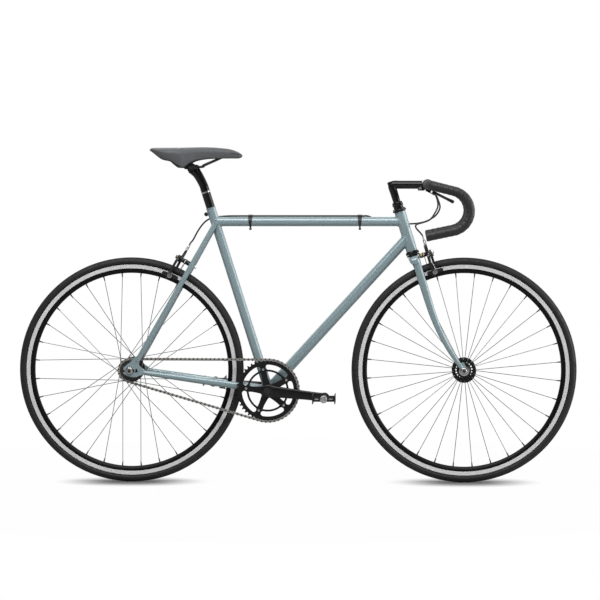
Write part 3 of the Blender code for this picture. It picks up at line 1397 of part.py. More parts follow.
def caliper_arm(name, place, pad_out, wheel, inner, body):
    """One curved arm with its shoe. The inner arm is next to the frame, and the outer one lies against it."""
    facing = matrix(place.translation, place.col[1].xyz, place.col[2].xyz, place.col[0].xyz)
    foot = -BRAKE_REACH - BRAKE_FOOT
    if inner:
        low, high = pad_out - BRAKE_ARM_THICKNESS - GAP, pad_out - GAP
        aside, start, end = ADJUSTER
        middle = (low + high) / 2
        adjuster_ends = [facing @ Vector((-aside, height, middle)) for height in (start, end)]
        extra = rod(*adjuster_ends, ADJUSTER_RADIUS, 6)
        outline = inner_arm_outline(*BRAKE_LEG, foot)
    else:
        low, high = pad_out + GAP, pad_out + GAP + BRAKE_ARM_THICKNESS
        behind, ahead = low - ANCHOR_BEHIND, high + ANCHOR_AHEAD
        anchor_ends = [facing @ Vector((*ANCHOR_PLACE, height)) for height in (behind, ahead)]
        extra = rod(*anchor_ends, BRAKE_STUD_RADIUS, 6)
        outline = outer_arm_outline(*BRAKE_LEG, foot)
    arm = joined(plate(outline, low, high, facing), extra)
    # The shoe lies along the rim, so it turns with the rim's slope at this height.
    pad_centre = place @ Vector((pad_out, 0, -BRAKE_REACH))
    along_rim = LEFT.cross((pad_centre - wheel).normalized())
    outward = place.col[1].xyz * (-1 if inner else 1)
    shoe_place = matrix(pad_centre, along_rim, outward, along_rim.cross(outward))
    face = RIM_HALF_WIDTH + PAD_CLEARANCE
    back = face + PAD_THICKNESS
    half_length, half_height = PAD_LENGTH / 2, PAD_HEIGHT / 2
    shoe = block((-half_length, face, -half_height), (half_length, back, half_height), shoe_place)
    stud_ends = [shoe_place @ Vector((0, aside, 0)) for aside in ((face + back) / 2, BRAKE_LEG[1] + 0.005)]
    stud = rod(*stud_ends, BRAKE_STUD_RADIUS, 6)
    hole = clearing(place.translation, place @ Vector((2 * pad_out, 0, 0)), BRAKE_BOLT_RADIUS, 8, RUNNING)
    piece(name, cut(joined(arm, shoe, stud), hole), "black_alloy", body)


# Seat


def build_seatpost(body):
    """Straight in the seat tube, then set back to the clamp's cradle."""
    clamp = POST_CLAMP
    low, high = SEAT_TOP - SEAT_UP * POST_DEPTH, SEAT_TOP + SEAT_UP * POST_ABOVE_TUBE
    straight = rod(low, high, POST_RADIUS, TUBE_SIDES)
    line = [high - SEAT_UP * POST_RADIUS / 4, *(clamp + Vector(offset) for offset in NECK), clamp]
    radii = [(POST_RADIUS * deep, POST_RADIUS * wide) for deep, wide in NECK_RADII]
    neck = swept(line, radii, TUBE_SIDES)
    cradle = clearing(clamp - LEFT * CLAMP_WIDTH, clamp + LEFT * CLAMP_WIDTH, CLAMP_RADIUS)
    reach, floor = CLAMP_WIDTH, -CLAMP_HEIGHT / 2 - GAP
    above = block((-reach, -reach, floor), (reach, reach, reach), Matrix.Translation(clamp))
    piece("seatpost", cut(joined(straight, neck), cradle, above), "black_alloy", body)


RAIL = (
    # one rail's line from the clamp, from its socket under the nose back to that under the tail
    (0.116, 0.009, 0.0355),
    (0.100, 0.013, 0.0320),
    (0.070, 0.018, 0.0190),
    (0.040, SADDLE_RAIL_SPREAD, 0.0060),
    (0.028, SADDLE_RAIL_SPREAD, 0),
    (-0.028, SADDLE_RAIL_SPREAD, 0),
    (-0.045, SADDLE_RAIL_SPREAD + 0.002, 0.0060),
    (-0.080, SADDLE_RAIL_SPREAD + 0.008, 0.0385),
)
RAIL_NOSE = (0.122, 0, 0.0357)


def rails_shape(clearance):
    """Both rails and the bend that joins them at the nose, this much thicker and longer."""
    runs = [[POST_CLAMP + Vector((x, side * y, z)) for x, y, z in RAIL] for _, side in SIDES]
    for run in runs:
        run[-1] = run[-1] + (run[-1] - run[-2]).normalized() * clearance
    left, right = runs
    line = [*left[::-1], POST_CLAMP + Vector(RAIL_NOSE), *right]
    return swept(line, SADDLE_RAIL_RADIUS + clearance, 6, upright=Vector((0, 0, 1)))


SADDLE_SECTIONS = (
    # behind the clamp to ahead of it: x, half its width, top, side's lower edge
    (-0.1250, 0.014, 0.0545, 0.0495),
    (-0.1150, 0.050, 0.0576, 0.0463),
    (-0.0840, 0.070, 0.0582, 0.0238),
    (-0.0560, 0.0725, 0.0583, 0.0165),
    (-0.0310, 0.069, 0.0585, 0.0005),
    (-0.0180, 0.063, 0.0588, 0.0000),
    (0.0000, 0.054, 0.0592, 0.0140),
    (0.0200, 0.043, 0.0597, 0.0212),
    (0.0500, 0.032, 0.0596, 0.0255),
    (0.0850, 0.0255, 0.0575, 0.0268),
    (0.1180, 0.0215, 0.0534, 0.0272),
    (0.1420, 0.0165, 0.0447, 0.0275),
    (0.1540, 0.0070, 0.0365, 0.0325),
)
SADDLE_PADDING = 0.018  # from the top to the shell's underside
SADDLE_CEILING = 0.0365  # the underside is no higher than this, except at the thin tail
SADDLE_CROWN = 0.0055  # from the middle of the top down to its shoulders


def saddle_shape():
    """A crowned cushion whose sides draw in, over a shell that is open below."""
    rings = []
    for x, half, top, edge in SADDLE_SECTIONS:
        under = max(edge + 0.001, min(top - SADDLE_PADDING, SADDLE_CEILING))
        thick = top - edge
        crown = min(SADDLE_CROWN, 0.2 * thick)
        profile = (
            (0.0, top),
            (0.45 * half, top - 0.2 * crown),
            (0.80 * half, top - crown),
            (half, top - 0.25 * thick),
            (0.97 * half, top - 0.60 * thick),
            (0.90 * half, edge),
            (0.80 * half, edge),
            (0.66 * half, under),
            (0.0, under),
        )
        left = [(aside, z) for aside, z in profile[1:-1]]
        ring = [profile[0], *left, profile[-1], *((-aside, z) for aside, z in left[::-1])]
        rings.append([POST_CLAMP + Vector((x, aside, z)) for aside, z in ring])
    return loft(rings)


def build_saddle(body):
    clamp = POST_CLAMP
    half = Vector((CLAMP_LENGTH, CLAMP_WIDTH, CLAMP_HEIGHT)) / 2
    aside = LEFT * CLAMP_WIDTH / 2
    head = joined(block(clamp - half, clamp + half), rod(clamp - aside, clamp + aside, CLAMP_RADIUS, 16))
    piece("saddle_clamp", cut(head, rails_shape(GAP)), "black_alloy", body)
    piece("saddle_rails", rails_shape(0), "black_paint", body)
    piece("saddle", cut(saddle_shape(), rails_shape(GAP)), "saddle_cover", body)


# Cables


HOUSING_ABOVE_TUBE = Vector((0, 0, TOP_TUBE_RADIUS + HOUSING_RADIUS + GAP))


def top_tube_top(x):
    """The middle of a housing that lies on the top tube."""
    share = (x - TOP_TUBE_START.x) / (TOP_TUBE_END.x - TOP_TUBE_START.x)
    return TOP_TUBE_START.lerp(TOP_TUBE_END, share) + HOUSING_ABOVE_TUBE


def build_clip(name, x, frame):
    """A band round the top tube that also passes over the housing, with its screw below."""
    line = top_tube_top(x)
    tube = line - HOUSING_ABOVE_TUBE
    half = FORWARD * CLIP_HALF_LENGTH
    band = rod(tube - half, tube + half, TOP_TUBE_RADIUS + 3 * GAP + CLIP_BAND, TUBE_SIDES)
    hump = rod(line - half, line + half, HOUSING_RADIUS + 2 * GAP + CLIP_BAND, 8)
    screw_radius, hang = CLIP_SCREW
    screw_top = tube - Vector((0, 0, TOP_TUBE_RADIUS))
    screw = rod(screw_top, screw_top - Vector((0, 0, hang)), screw_radius, 8)
    clip = cut(
        joined(band, hump, screw),
        clearing(tube - half * 3, tube + half * 3, TOP_TUBE_RADIUS, TUBE_SIDES),
        clearing(line - half * 3, line + half * 3, HOUSING_RADIUS, 8, 2 * GAP),
    )
    piece(name, clip, "black_alloy", frame)


REAR_FROM_BAR = (
    # from the right lever down into a loop ahead of the head tube, each from the middle of the bar
    (0.0191, -0.0454, -0.0225),
    (0.0241, -0.0400, -0.0290),
    (0.0321, -0.0330, -0.0470),
    (0.0371, -0.0180, -0.0680),
    (0.0281, -0.0020, -0.0880),
)
REAR_ROUND_HEAD = (
    # past the head tube's left side and onto the top tube, each from the top tube's front end
    (0.0875, 0.0110, 0.0099),
    (0.0685, 0.0200, 0.0004),
    (0.0425, 0.0255, -0.0056),
    (0.0125, 0.0270, -0.0071),
    (-0.0175, 0.0265, -0.0066),
    (-0.0475, 0.0250, -0.0041),
    (-0.0750, 0.0200, 0.0020),
    (-0.0950, 0.0128, 0.0124),
    (-0.1060, 0.0062, 0.0166),
    (-0.1140, 0.0018, 0.0174),
)
REAR_PAST_SEAT = (
    # off the top tube and past the seat tube's left side, each from the top of the seat tube
    (0.0498, 0.0060, -0.0254),
    (0.0288, 0.0160, -0.0269),
    (0.0058, 0.0225, -0.0294),
    (-0.0182, 0.0260, -0.0419),
)
REAR_TO_BRAKE = ((0.0300, -0.0010, 0.0495), (0.0120, 0, 0.0175))  # from the adjuster
FRONT_FROM_BAR = (
    # from the left lever over to the right of the head tube, each from the middle of the bar
    (0.0191, 0.0454, -0.0225),
    (0.0231, 0.0400, -0.0290),
    (0.0296, 0.0330, -0.0470),
    (0.0306, 0.0180, -0.0665),
    (0.0206, 0.0000, -0.0876),
    (0.0066, -0.0090, -0.1052),
    (-0.0119, -0.0135, -0.1130),
    (-0.0279, -0.0180, -0.1175),
)
FRONT_TO_BRAKE = (
    # out to the side and down to the front brake, each from the adjuster
    (-0.0243, 0.0035, 0.0405),
    (-0.0218, -0.0022, 0.0318),
    (-0.0113, -0.0020, 0.0203),
)
ON_TUBE_FRONT = (0.1225, 0.2175)  # places on the top tube, behind its front end
ON_TUBE_REAR = (0.2085, 0.0635)  # and ahead of its rear end
STRAIGHT_INTO_ADJUSTER = 0.011


def horn_end(place, pad_out):
    """Where a housing stops on the caliper's horn."""
    aside, _, end = ADJUSTER
    return place @ Vector((pad_out - BRAKE_ARM_THICKNESS / 2 - GAP, -aside, end + 2 * GAP))


def build_housings(frame, fork, front_place, rear_place):
    end = horn_end(rear_place, BRAKE_PAD_OUT_REAR)
    route = [
        *(BAR_CENTRE + Vector(offset) for offset in REAR_FROM_BAR),
        *(TOP_TUBE_END + Vector(offset) for offset in REAR_ROUND_HEAD),
        *(top_tube_top(TOP_TUBE_END.x - behind) for behind in ON_TUBE_FRONT),
        *(top_tube_top(TOP_TUBE_START.x + ahead) for ahead in ON_TUBE_REAR),
        *(SEAT_TOP + Vector(offset) for offset in REAR_PAST_SEAT),
        *(end + Vector(offset) for offset in REAR_TO_BRAKE),
        end + rear_place.col[2].xyz * STRAIGHT_INTO_ADJUSTER,
        end,
    ]
    cable("rear_brake_housing", route, HOUSING_RADIUS, "housing_black", frame, 2)
    end = horn_end(front_place, BRAKE_PAD_OUT_FRONT)
    route = [
        *(BAR_CENTRE + Vector(offset) for offset in FRONT_FROM_BAR),
        *(end + Vector(offset) for offset in FRONT_TO_BRAKE),
        end + front_place.col[2].xyz * STRAIGHT_INTO_ADJUSTER,
        end,
    ]
    cable("front_brake_housing", route, HOUSING_RADIUS, "housing_black", fork, 2)


def build_bicycle():
    clear_scene()
    make_materials()
    frame = pivot("frame", (0, 0, 0))
    build_main_tubes(frame)
    build_seat_tube(frame)
    build_rear_triangle(frame)
    build_brake_bridge(frame)
    build_headset_cups(frame)
    build_bottom_bracket(frame)
    build_axle("rear_axle", REAR_AXLE, REAR_AXLE_RADIUS, AXLE_WIDTH_REAR, TRACK_END_THICKNESS, frame)
    build_chain(frame)
    rear_clip, front_clip = CLIP_PLACES
    build_clip("housing_clip_rear", TOP_TUBE_START.x + rear_clip, frame)
    build_clip("housing_clip_front", TOP_TUBE_END.x + front_clip, frame)

    seat = pivot("seatpost_slide", SEAT_TOP, frame)
    build_seatpost(seat)
    build_saddle(seat)

    fork = pivot("steering", HEAD_BASE, frame)
    build_fork_steerer(fork)
    for name, side in SIDES:
        build_fork_blade(f"fork_blade_{name}", side, fork)
    build_axle("front_axle", FRONT_AXLE, FRONT_AXLE_RADIUS, AXLE_WIDTH_FRONT, FORK_END_THICKNESS, fork)
    build_headset_top(fork)
    build_stem(fork)
    build_handlebar(fork)
    for name, side in SIDES:
        build_lever_bracket(f"lever_bracket_{name}", side, fork)
        blade = pivot(f"lever_pin_{name}", lever_place(side) @ Vector(LEVER_PIVOT), fork)
        build_lever_blade(f"brake_lever_{name}", side, blade)

    front_wheel = pivot("front_wheel_axis", FRONT_AXLE, fork)
    front_valve, rear_valve = (spacings * math.tau / SPOKE_COUNT for spacings in VALVE_PLACES)
    build_tyre_and_rim("front", FRONT_AXLE, front_wheel, FRONT_SPOKE_START + front_valve)
    build_front_hub(front_wheel)
    rear_wheel = pivot("rear_wheel_axis", REAR_AXLE, frame)
    build_tyre_and_rim("rear", REAR_AXLE, rear_wheel, REAR_SPOKE_START + rear_valve)
    build_rear_hub(rear_wheel)
    build_sprocket(rear_wheel)

    crankset = pivot("crank_axis", BRACKET, frame)
    build_crankset(crankset)
    for name, side in SIDES:
        pedal = pivot(f"pedal_axis_{name}", crank_eye(side), crankset)
        build_pedal(f"pedal_{name}", side, pedal)

    front_place = STEERING @ Matrix.Translation((0, 0, BRAKE_PIVOT_FRONT))
    rear_place = rear_brake_place()
    brakes = (
        ("front", front_place, CROWN_DEPTH, BRAKE_PAD_OUT_FRONT, FRONT_AXLE, fork),
        ("rear", rear_place, BRIDGE_RADIUS, BRAKE_PAD_OUT_REAR, REAR_AXLE, frame),
    )
    for name, place, start, pad_out, wheel, carrier in brakes:
        build_brake_bolt(f"{name}_brake_bolt", place, start, pad_out, carrier)
        arms = pivot(f"{name}_brake_axis", place.translation, carrier)
        # Local +Y of the rear brake is the rider's right, because the same brake is turned round.
        for inner, which in ((True, "inner"), (False, "outer")):
            caliper_arm(f"{name}_brake_arm_{which}", place, pad_out, wheel, inner, arms)
    build_housings(frame, fork, front_place, rear_place)


build_bicycle()
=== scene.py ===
"""The looks of the drop-bar city bicycle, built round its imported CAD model.

Metres, with +X forward and +Y to the rider's left.
"""

import json
import math
from functools import reduce

import bmesh
import bpy
from mathutils import Matrix, Vector
from mathutils.geometry import delaunay_2d_cdt

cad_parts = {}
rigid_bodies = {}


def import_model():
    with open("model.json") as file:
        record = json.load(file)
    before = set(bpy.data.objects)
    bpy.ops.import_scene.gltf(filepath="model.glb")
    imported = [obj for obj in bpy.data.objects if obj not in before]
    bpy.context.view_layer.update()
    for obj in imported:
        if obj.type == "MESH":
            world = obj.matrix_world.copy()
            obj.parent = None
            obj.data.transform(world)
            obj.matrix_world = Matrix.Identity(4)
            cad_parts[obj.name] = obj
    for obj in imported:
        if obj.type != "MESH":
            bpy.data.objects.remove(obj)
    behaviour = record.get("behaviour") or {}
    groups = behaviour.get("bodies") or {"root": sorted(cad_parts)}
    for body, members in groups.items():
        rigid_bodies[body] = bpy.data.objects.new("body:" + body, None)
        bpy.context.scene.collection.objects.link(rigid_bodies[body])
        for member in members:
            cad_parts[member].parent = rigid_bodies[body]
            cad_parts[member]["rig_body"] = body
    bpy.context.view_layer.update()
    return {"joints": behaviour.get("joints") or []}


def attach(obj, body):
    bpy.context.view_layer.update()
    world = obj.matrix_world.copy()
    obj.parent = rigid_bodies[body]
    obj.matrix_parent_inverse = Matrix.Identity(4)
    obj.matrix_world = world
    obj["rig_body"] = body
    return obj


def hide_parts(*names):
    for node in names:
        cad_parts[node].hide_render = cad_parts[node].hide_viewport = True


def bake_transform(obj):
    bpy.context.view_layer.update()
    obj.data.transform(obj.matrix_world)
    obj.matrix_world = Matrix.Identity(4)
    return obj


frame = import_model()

# Points and sizes of the CAD
JOINTS = {joint["name"]: joint for joint in frame["joints"]}
LEFT, FORWARD, UP = Vector((0, 1, 0)), Vector((1, 0, 0)), Vector((0, 0, 1))
IDENTITY = Matrix.Identity(4)


def pivot(name):
    return Vector(JOINTS[name]["pos_m"])


REAR_AXLE, FRONT_AXLE = pivot("rear_wheel_spin"), pivot("front_wheel_spin")
BRACKET, HEAD_BASE = pivot("crank_spin"), pivot("steering")
STEER_UP = Vector(JOINTS["steering"]["axis"])
STEER_FORWARD = Vector((STEER_UP.z, 0, -STEER_UP.x))
SEAT_UP = Vector(JOINTS["seatpost_height"]["axis"])
SEAT_TOP = BRACKET + SEAT_UP * 0.576
SIDES = (("left", 1), ("right", -1))


def place_of(origin, x_axis, y_axis, z_axis):
    turn = Matrix((x_axis, y_axis, z_axis)).transposed().to_4x4()
    return Matrix.Translation(origin) @ turn


def across(centre):
    """Local z along +Y."""
    return place_of(centre, FORWARD, -UP, LEFT)


def drive_side(centre):
    """Local x forward, y up and z towards the rider's right."""
    return place_of(centre, FORWARD, UP, -LEFT)


def mirrored(place, sign):
    """The same place, with its local z turned round where sign is negative."""
    return place @ Matrix.Diagonal((1, 1, sign, 1))


def at(place, x, y, z):
    """A point given in a place's own axes."""
    return place @ Vector((x, y, z))


def even_turn(count):
    """The angles of even steps round a circle."""
    return [math.tau * i / count for i in range(count)]


def polar(radius, angle):
    return radius * math.cos(angle), radius * math.sin(angle)


def ray(angle, length):
    """A vector in the bicycle's plane, by its angle above forward."""
    return Vector((math.cos(angle), 0, math.sin(angle))) * length


def both_ways(half):
    """A profile of (radius, height) points that starts at one end and repeats above the middle plane."""
    return [*half, *((radius, -height) for radius, height in half[::-1])]


STEERING = place_of(HEAD_BASE, STEER_FORWARD, LEFT, STEER_UP)
SEAT = place_of(SEAT_TOP, Vector((SEAT_UP.z, 0, -SEAT_UP.x)), LEFT, SEAT_UP)

# Shapes

MM = 0.001
ONLY_INSIDE = 1  # the triangulation's kind of result


class Shape:
    """Points and faces of one piece. Each face keeps the number of its finish."""

    def __init__(self):
        self.points, self.faces, self.marks = [], [], []
        self.mark = 0

    def add(self, points, faces):
        base = len(self.points)
        self.points += [Vector(point) for point in points]
        self.faces += [[base + i for i in face] for face in faces]
        self.marks += [self.mark] * len(faces)
        return self

    def loft(self, rings, closed=False, caps=True):
        """A skin through rings of points that all have the same number of points."""
        count = len(rings[0])
        faces = []
        for row in range(len(rings) if closed else len(rings) - 1):
            low, high = row * count, (row + 1) % len(rings) * count
            for i in range(count):
                j = (i + 1) % count
                faces.append((low + i, low + j, high + j, high + i))
        if caps and not closed:
            last = (len(rings) - 1) * count
            faces += [list(range(count))[::-1], [last + i for i in range(count)]]
        return self.add([point for ring in rings for point in ring], faces)

    def turned(self, profile, sides, place, closed=False, phase=0.0):
        """A profile of (radius, height) points turned round the local z axis."""
        angles = [phase + angle for angle in even_turn(sides)]
        rings = [[at(place, *polar(r, a), h) for a in angles] for r, h in profile]
        return self.loft(rings, closed)

    def sweep(self, points, radius, sides=16, upright=LEFT, closed=False, bore=None, round_ends=0):
        """A tube along points, with a radius, a list of radii or a function: see both_radii."""
        points = [Vector(point) for point in points]
        if round_ends:
            first, last = (points[0] - points[1]).normalized(), (points[-1] - points[-2]).normalized()
        rings = tube_rings(points, radius, sides, upright, closed)
        if bore is not None:
            return self.loft(rings + tube_rings(points, bore, sides, upright, closed)[::-1], closed=True)
        if round_ends:
            head = dome(rings[0], points[0], first, round_ends)[::-1]
            rings = head + rings + dome(rings[-1], points[-1], last, round_ends)
        return self.loft(rings, closed)

    def plate(self, outline, low, high, place=IDENTITY, holes=()):
        """A flat outline with holes, thick from low to high along the local z axis."""
        flat, rims = [], []
        for loop in (outline, *holes):
            rims.append(list(range(len(flat), len(flat) + len(loop))))
            flat += [Vector(point) / MM for point in counter_clockwise(loop)]
        flat, _, triangles, _, _, owners = delaunay_2d_cdt(flat, [], rims, ONLY_INSIDE, 1e-5)
        triangles = [t for t, inside in zip(triangles, owners) if inside == [0]]
        count = len(flat)
        points = [at(place, p.x * MM, p.y * MM, z) for z in (low, high) for p in flat]
        faces = [list(t)[::-1] for t in triangles] + [[count + i for i in t] for t in triangles]
        sides = dict.fromkeys((t[i - 1], t[i]) for t in triangles for i in range(3))
        faces += [(a, b, count + b, count + a) for a, b in sides if (b, a) not in sides]
        return self.add(points, faces)

    def box(self, low, high, place=IDENTITY):
        (x0, y0, z0), (x1, y1, z1) = low, high
        return self.plate(((x0, y0), (x1, y0), (x1, y1), (x0, y1)), z0, z1, place)


def counter_clockwise(loop):
    twice_area = sum(a[0] * b[1] - b[0] * a[1] for a, b in zip(loop, [*loop[1:], loop[0]]))
    return list(loop) if twice_area > 0 else list(loop)[::-1]


def both_radii(size, distance, angle):
    """Across and upright, from a number, a pair or a function of distance and angle."""
    if callable(size):
        size = size(distance, angle)
    return size if isinstance(size, tuple) else (size, size)


def tube_rings(points, radius, sides, upright, closed=False):
    """Rings of points round a line. They turn as little as they can along it."""
    steps = [(after - before).normalized() for before, after in zip(points, points[1:])]
    if closed:
        steps.append((points[0] - points[-1]).normalized())
        before, after = steps[-1:] + steps[:-1], steps
    else:
        before, after = [steps[0], *steps], [*steps, steps[-1]]
    tangents = [(a + b).normalized() for a, b in zip(before, after)]
    if abs(tangents[0].dot(upright)) > 0.9:
        upright = UP if abs(upright.z) < 0.5 else FORWARD
    side = (upright - tangents[0] * tangents[0].dot(upright)).normalized()
    rings, distance = [], 0.0
    for i, (point, tangent) in enumerate(zip(points, tangents)):
        if i:
            distance += (point - points[i - 1]).length
        side = (side - tangent * side.dot(tangent)).normalized()
        level = side.cross(tangent)
        size = radius[i] if isinstance(radius, list) else radius
        ring = []
        for k in range(sides):
            angle = math.tau * (k + 0.5) / sides
            wide, tall = both_radii(size, distance, angle)
            ring.append(point + level * wide * math.cos(angle) + side * tall * math.sin(angle))
        rings.append(ring)
    return rings


def dome(ring, centre, outward, height, steps=4):
    """Rings that round off the end of a tube."""
    rings = []
    for i in range(1, steps + 1):
        angle = math.pi / 2 * i / (steps + 0.35)
        rings.append(
            [centre + (p - centre) * math.cos(angle) + outward * height * math.sin(angle) for p in ring]
        )
    return rings


def smooth_path(points, steps):
    """Points of a smooth curve that passes through all of these."""
    points = [Vector(point) for point in points]
    ends = [2 * points[0] - points[1], *points, 2 * points[-1] - points[-2]]
    path = []
    for a, b, c, d in zip(ends, ends[1:], ends[2:], ends[3:]):
        square, cube = a * 2 - b * 5 + c * 4 - d, b * 3 - a - c * 3 + d
        for i in range(steps):
            t = i / steps
            path.append(((b * 2) + (c - a) * t + square * t**2 + cube * t**3) / 2)
    return [*path, points[-1]]


def smooth_pairs(pairs, steps):
    return [(p.x, p.y) for p in smooth_path([(*pair, 0) for pair in pairs], steps)]


def resampled(points, spacing):
    """The same line with evenly spaced points."""
    lengths = [0.0]
    for a, b in zip(points, points[1:]):
        lengths.append(lengths[-1] + (b - a).length)
    count = max(2, round(lengths[-1] / spacing))
    result, i = [], 0
    for k in range(count + 1):
        reach = lengths[-1] * k / count
        while i < len(points) - 2 and lengths[i + 1] < reach:
            i += 1
        span = lengths[i + 1] - lengths[i]
        result.append(points[i].lerp(points[i + 1], (reach - lengths[i]) / span if span else 0))
    return result


def arc(radius, start, end, steps, centre=(0, 0)):
    angles = [start + (end - start) * i / steps for i in range(steps + 1)]
    return [(centre[0] + radius * math.cos(a), centre[1] + radius * math.sin(a)) for a in angles]


def circle(radius, sides, centre=(0, 0)):
    return arc(radius, 0, math.tau * (sides - 1) / sides, sides - 1, centre)


def filleted(outline, radius, steps=4):
    """The outline with its corners rounded."""
    points = [Vector(point) for point in outline]
    result = []
    for i, corner in enumerate(points):
        before, after = points[i - 1] - corner, points[(i + 1) % len(points)] - corner
        reach = min(radius, before.length * 0.45, after.length * 0.45)
        a, b = corner + before.normalized() * reach, corner + after.normalized() * reach
        for k in range(steps + 1):
            t = k / steps
            result.append(a * (1 - t) ** 2 + corner * 2 * t * (1 - t) + b * t**2)
    return [(point.x, point.y) for point in result]


def object_of(shape):
    mesh = bpy.data.meshes.new("helper")
    mesh.from_pydata(shape.points, [], shape.faces)
    mesh.polygons.foreach_set("material_index", shape.marks)
    bm = bmesh.new()
    bm.from_mesh(mesh)
    bmesh.ops.recalc_face_normals(bm, faces=bm.faces)
    bm.to_mesh(mesh)
    bm.free()
    helper = bpy.data.objects.new("helper", mesh)
    bpy.context.scene.collection.objects.link(helper)
    return helper


def combine(base, tool, operation):
    helpers = [object_of(base), object_of(tool)]
    modifier = helpers[0].modifiers.new("combine", "BOOLEAN")
    modifier.operation, modifier.solver, modifier.object = operation, "EXACT", helpers[1]
    result = bmesh.new()
    result.from_object(helpers[0], bpy.context.evaluated_depsgraph_get())
    bmesh.ops.dissolve_degenerate(result, dist=2e-6, edges=result.edges)
    shape = Shape()
    shape.points = [vertex.co.copy() for vertex in result.verts]
    result.verts.index_update()
    shape.faces = [[vertex.index for vertex in face.verts] for face in result.faces]
    shape.marks = [0] * len(shape.faces)
    result.free()
    for helper in helpers:
        mesh = helper.data
        bpy.data.objects.remove(helper)
        bpy.data.meshes.remove(mesh)
    return shape


def joined(*shapes):
    return reduce(lambda base, tool: combine(base, tool, "UNION"), shapes)


def cut(base, *tools):
    return reduce(lambda left, tool: combine(left, tool, "DIFFERENCE"), tools, base)


# Finishes

MATERIALS = {}


def is_output(value):
    return isinstance(value, bpy.types.NodeSocket)


class Tree:
    """The nodes of a material or of the world."""

    def __init__(self, tree):
        self.tree = tree

    def node(self, kind, inputs=None, **settings):
        made = self.tree.nodes.new(kind)
        for key, value in settings.items():
            setattr(made, key, value)
        for key, value in (inputs or {}).items():
            if is_output(value):
                self.tree.links.new(value, made.inputs[key])
            else:
                made.inputs[key].default_value = value
        return made

    def math(self, operation, *values):
        return self.node("ShaderNodeMath", dict(enumerate(values)), operation=operation).outputs[0]

    def vectors(self, operation, *values):
        return self.node("ShaderNodeVectorMath", dict(enumerate(values)), operation=operation).outputs

    def span(self, value, low, high, start=0.3, end=0.7, kind="LINEAR"):
        """low where the value is at start, and high where it is at end."""
        inputs = {"Value": value, "From Min": start, "From Max": end, "To Min": low, "To Max": high}
        return self.node("ShaderNodeMapRange", inputs, interpolation_type=kind).outputs[0]

    def any_ray(self, *names):
        """1 for these kinds of ray, and 0 for the rest."""
        path = self.node("ShaderNodeLightPath")
        return reduce(lambda total, name: self.math("MAXIMUM", total, path.outputs[name]), names, 0.0)

    def blended(self, share, low, high):
        """low where share is 0, and high where it is 1."""
        return self.node("ShaderNodeMix", {0: share, 2: low, 3: high}, data_type="FLOAT").outputs[0]


class Graph(Tree):
    """A material's nodes, with the textures placed by object coordinates."""

    def __init__(self, name, slot, roughness, metallic=0.0, **settings):
        self.made = bpy.data.materials.new(name)
        self.made.use_nodes = True
        super().__init__(self.made.node_tree)
        self.shader = self.tree.nodes["Principled BSDF"]
        settings = {"Roughness": roughness, "Metallic": metallic, **settings}
        for key, value in settings.items():
            self.shader.inputs[key.replace("_", " ")].default_value = value
        self.spot = self.node("ShaderNodeTexCoord").outputs["Object"]
        self.normal = None
        MATERIALS[name] = self.made

    def noise(self, scale, detail=3.0):
        inputs = {"Vector": self.spot, "Scale": scale, "Detail": detail}
        return self.node("ShaderNodeTexNoise", inputs).outputs["Fac"]

    def cells(self, scale, feature="F1"):
        inputs = {"Vector": self.spot, "Scale": scale}
        return self.node("ShaderNodeTexVoronoi", inputs, feature=feature).outputs["Distance"]

    def axes(self):
        return self.node("ShaderNodeSeparateXYZ", {0: self.spot}).outputs

    def mix(self, share, first, second):
        """Two colours, or the outputs of other nodes."""
        first, second = (value if is_output(value) else (*value, 1) for value in (first, second))
        return self.node("ShaderNodeMix", {0: share, 6: first, 7: second}, data_type="RGBA").outputs[2]

    def set(self, name, value):
        self.tree.links.new(value, self.shader.inputs[name])

    def look(self, tone_scale, dark, light, rough_scale, smooth, rough):
        """Colour and roughness that vary between two values over the piece."""
        self.set("Base Color", self.mix(self.noise(tone_scale), dark, light))
        self.set("Roughness", self.span(self.noise(rough_scale), smooth, rough))

    def bump(self, height, distance, strength=1.0):
        """Bumps are laid on each other in the order of the calls."""
        inputs = {"Height": height, "Distance": distance, "Strength": strength}
        if self.normal:
            inputs["Normal"] = self.normal
        self.normal = self.node("ShaderNodeBump", inputs).outputs[0]
        self.set("Normal", self.normal)

    def worn(self, colour, bare, amount):
        """Convex edges turn lighter where they are rubbed."""
        edge = self.node("ShaderNodeNewGeometry").outputs["Pointiness"]
        rubbed = self.span(edge, 0, amount, 0.52, 0.62)
        patchy = self.math("MULTIPLY", rubbed, self.span(self.noise(180), 0.3, 1))
        return self.mix(patchy, colour, bare)


def scaled(colour, factor):
    return tuple(channel * factor for channel in colour)


WORN_METAL = (0.35, 0.35, 0.36)


def plain_finish(
    name, slot, colour, roughness, metallic=0.0, blotch=0.1, grain=900, depth=1e-5, wear=0.0, **settings
):
    """Colour, gloss and surface that vary a little over the piece."""
    graph = Graph(name, slot, roughness, metallic, **settings)
    tone = graph.mix(graph.noise(35), scaled(colour, 1 - blotch), scaled(colour, 1 + blotch))
    if wear:
        tone = graph.worn(tone, WORN_METAL, wear)
    graph.set("Base Color", tone)
    graph.set("Roughness", graph.span(graph.noise(160), roughness * 0.85, roughness * 1.2))
    graph.bump(graph.noise(grain), depth)
    return graph


def make_paint():
    paint = Graph("frame_paint_fine", "frame_paint", 0.32, 0.15, Coat_Weight=1.0, Coat_Roughness=0.14)
    paint.look(7, (0.272, 0.369, 0.395), (0.284, 0.383, 0.409), 40, 0.29, 0.35)


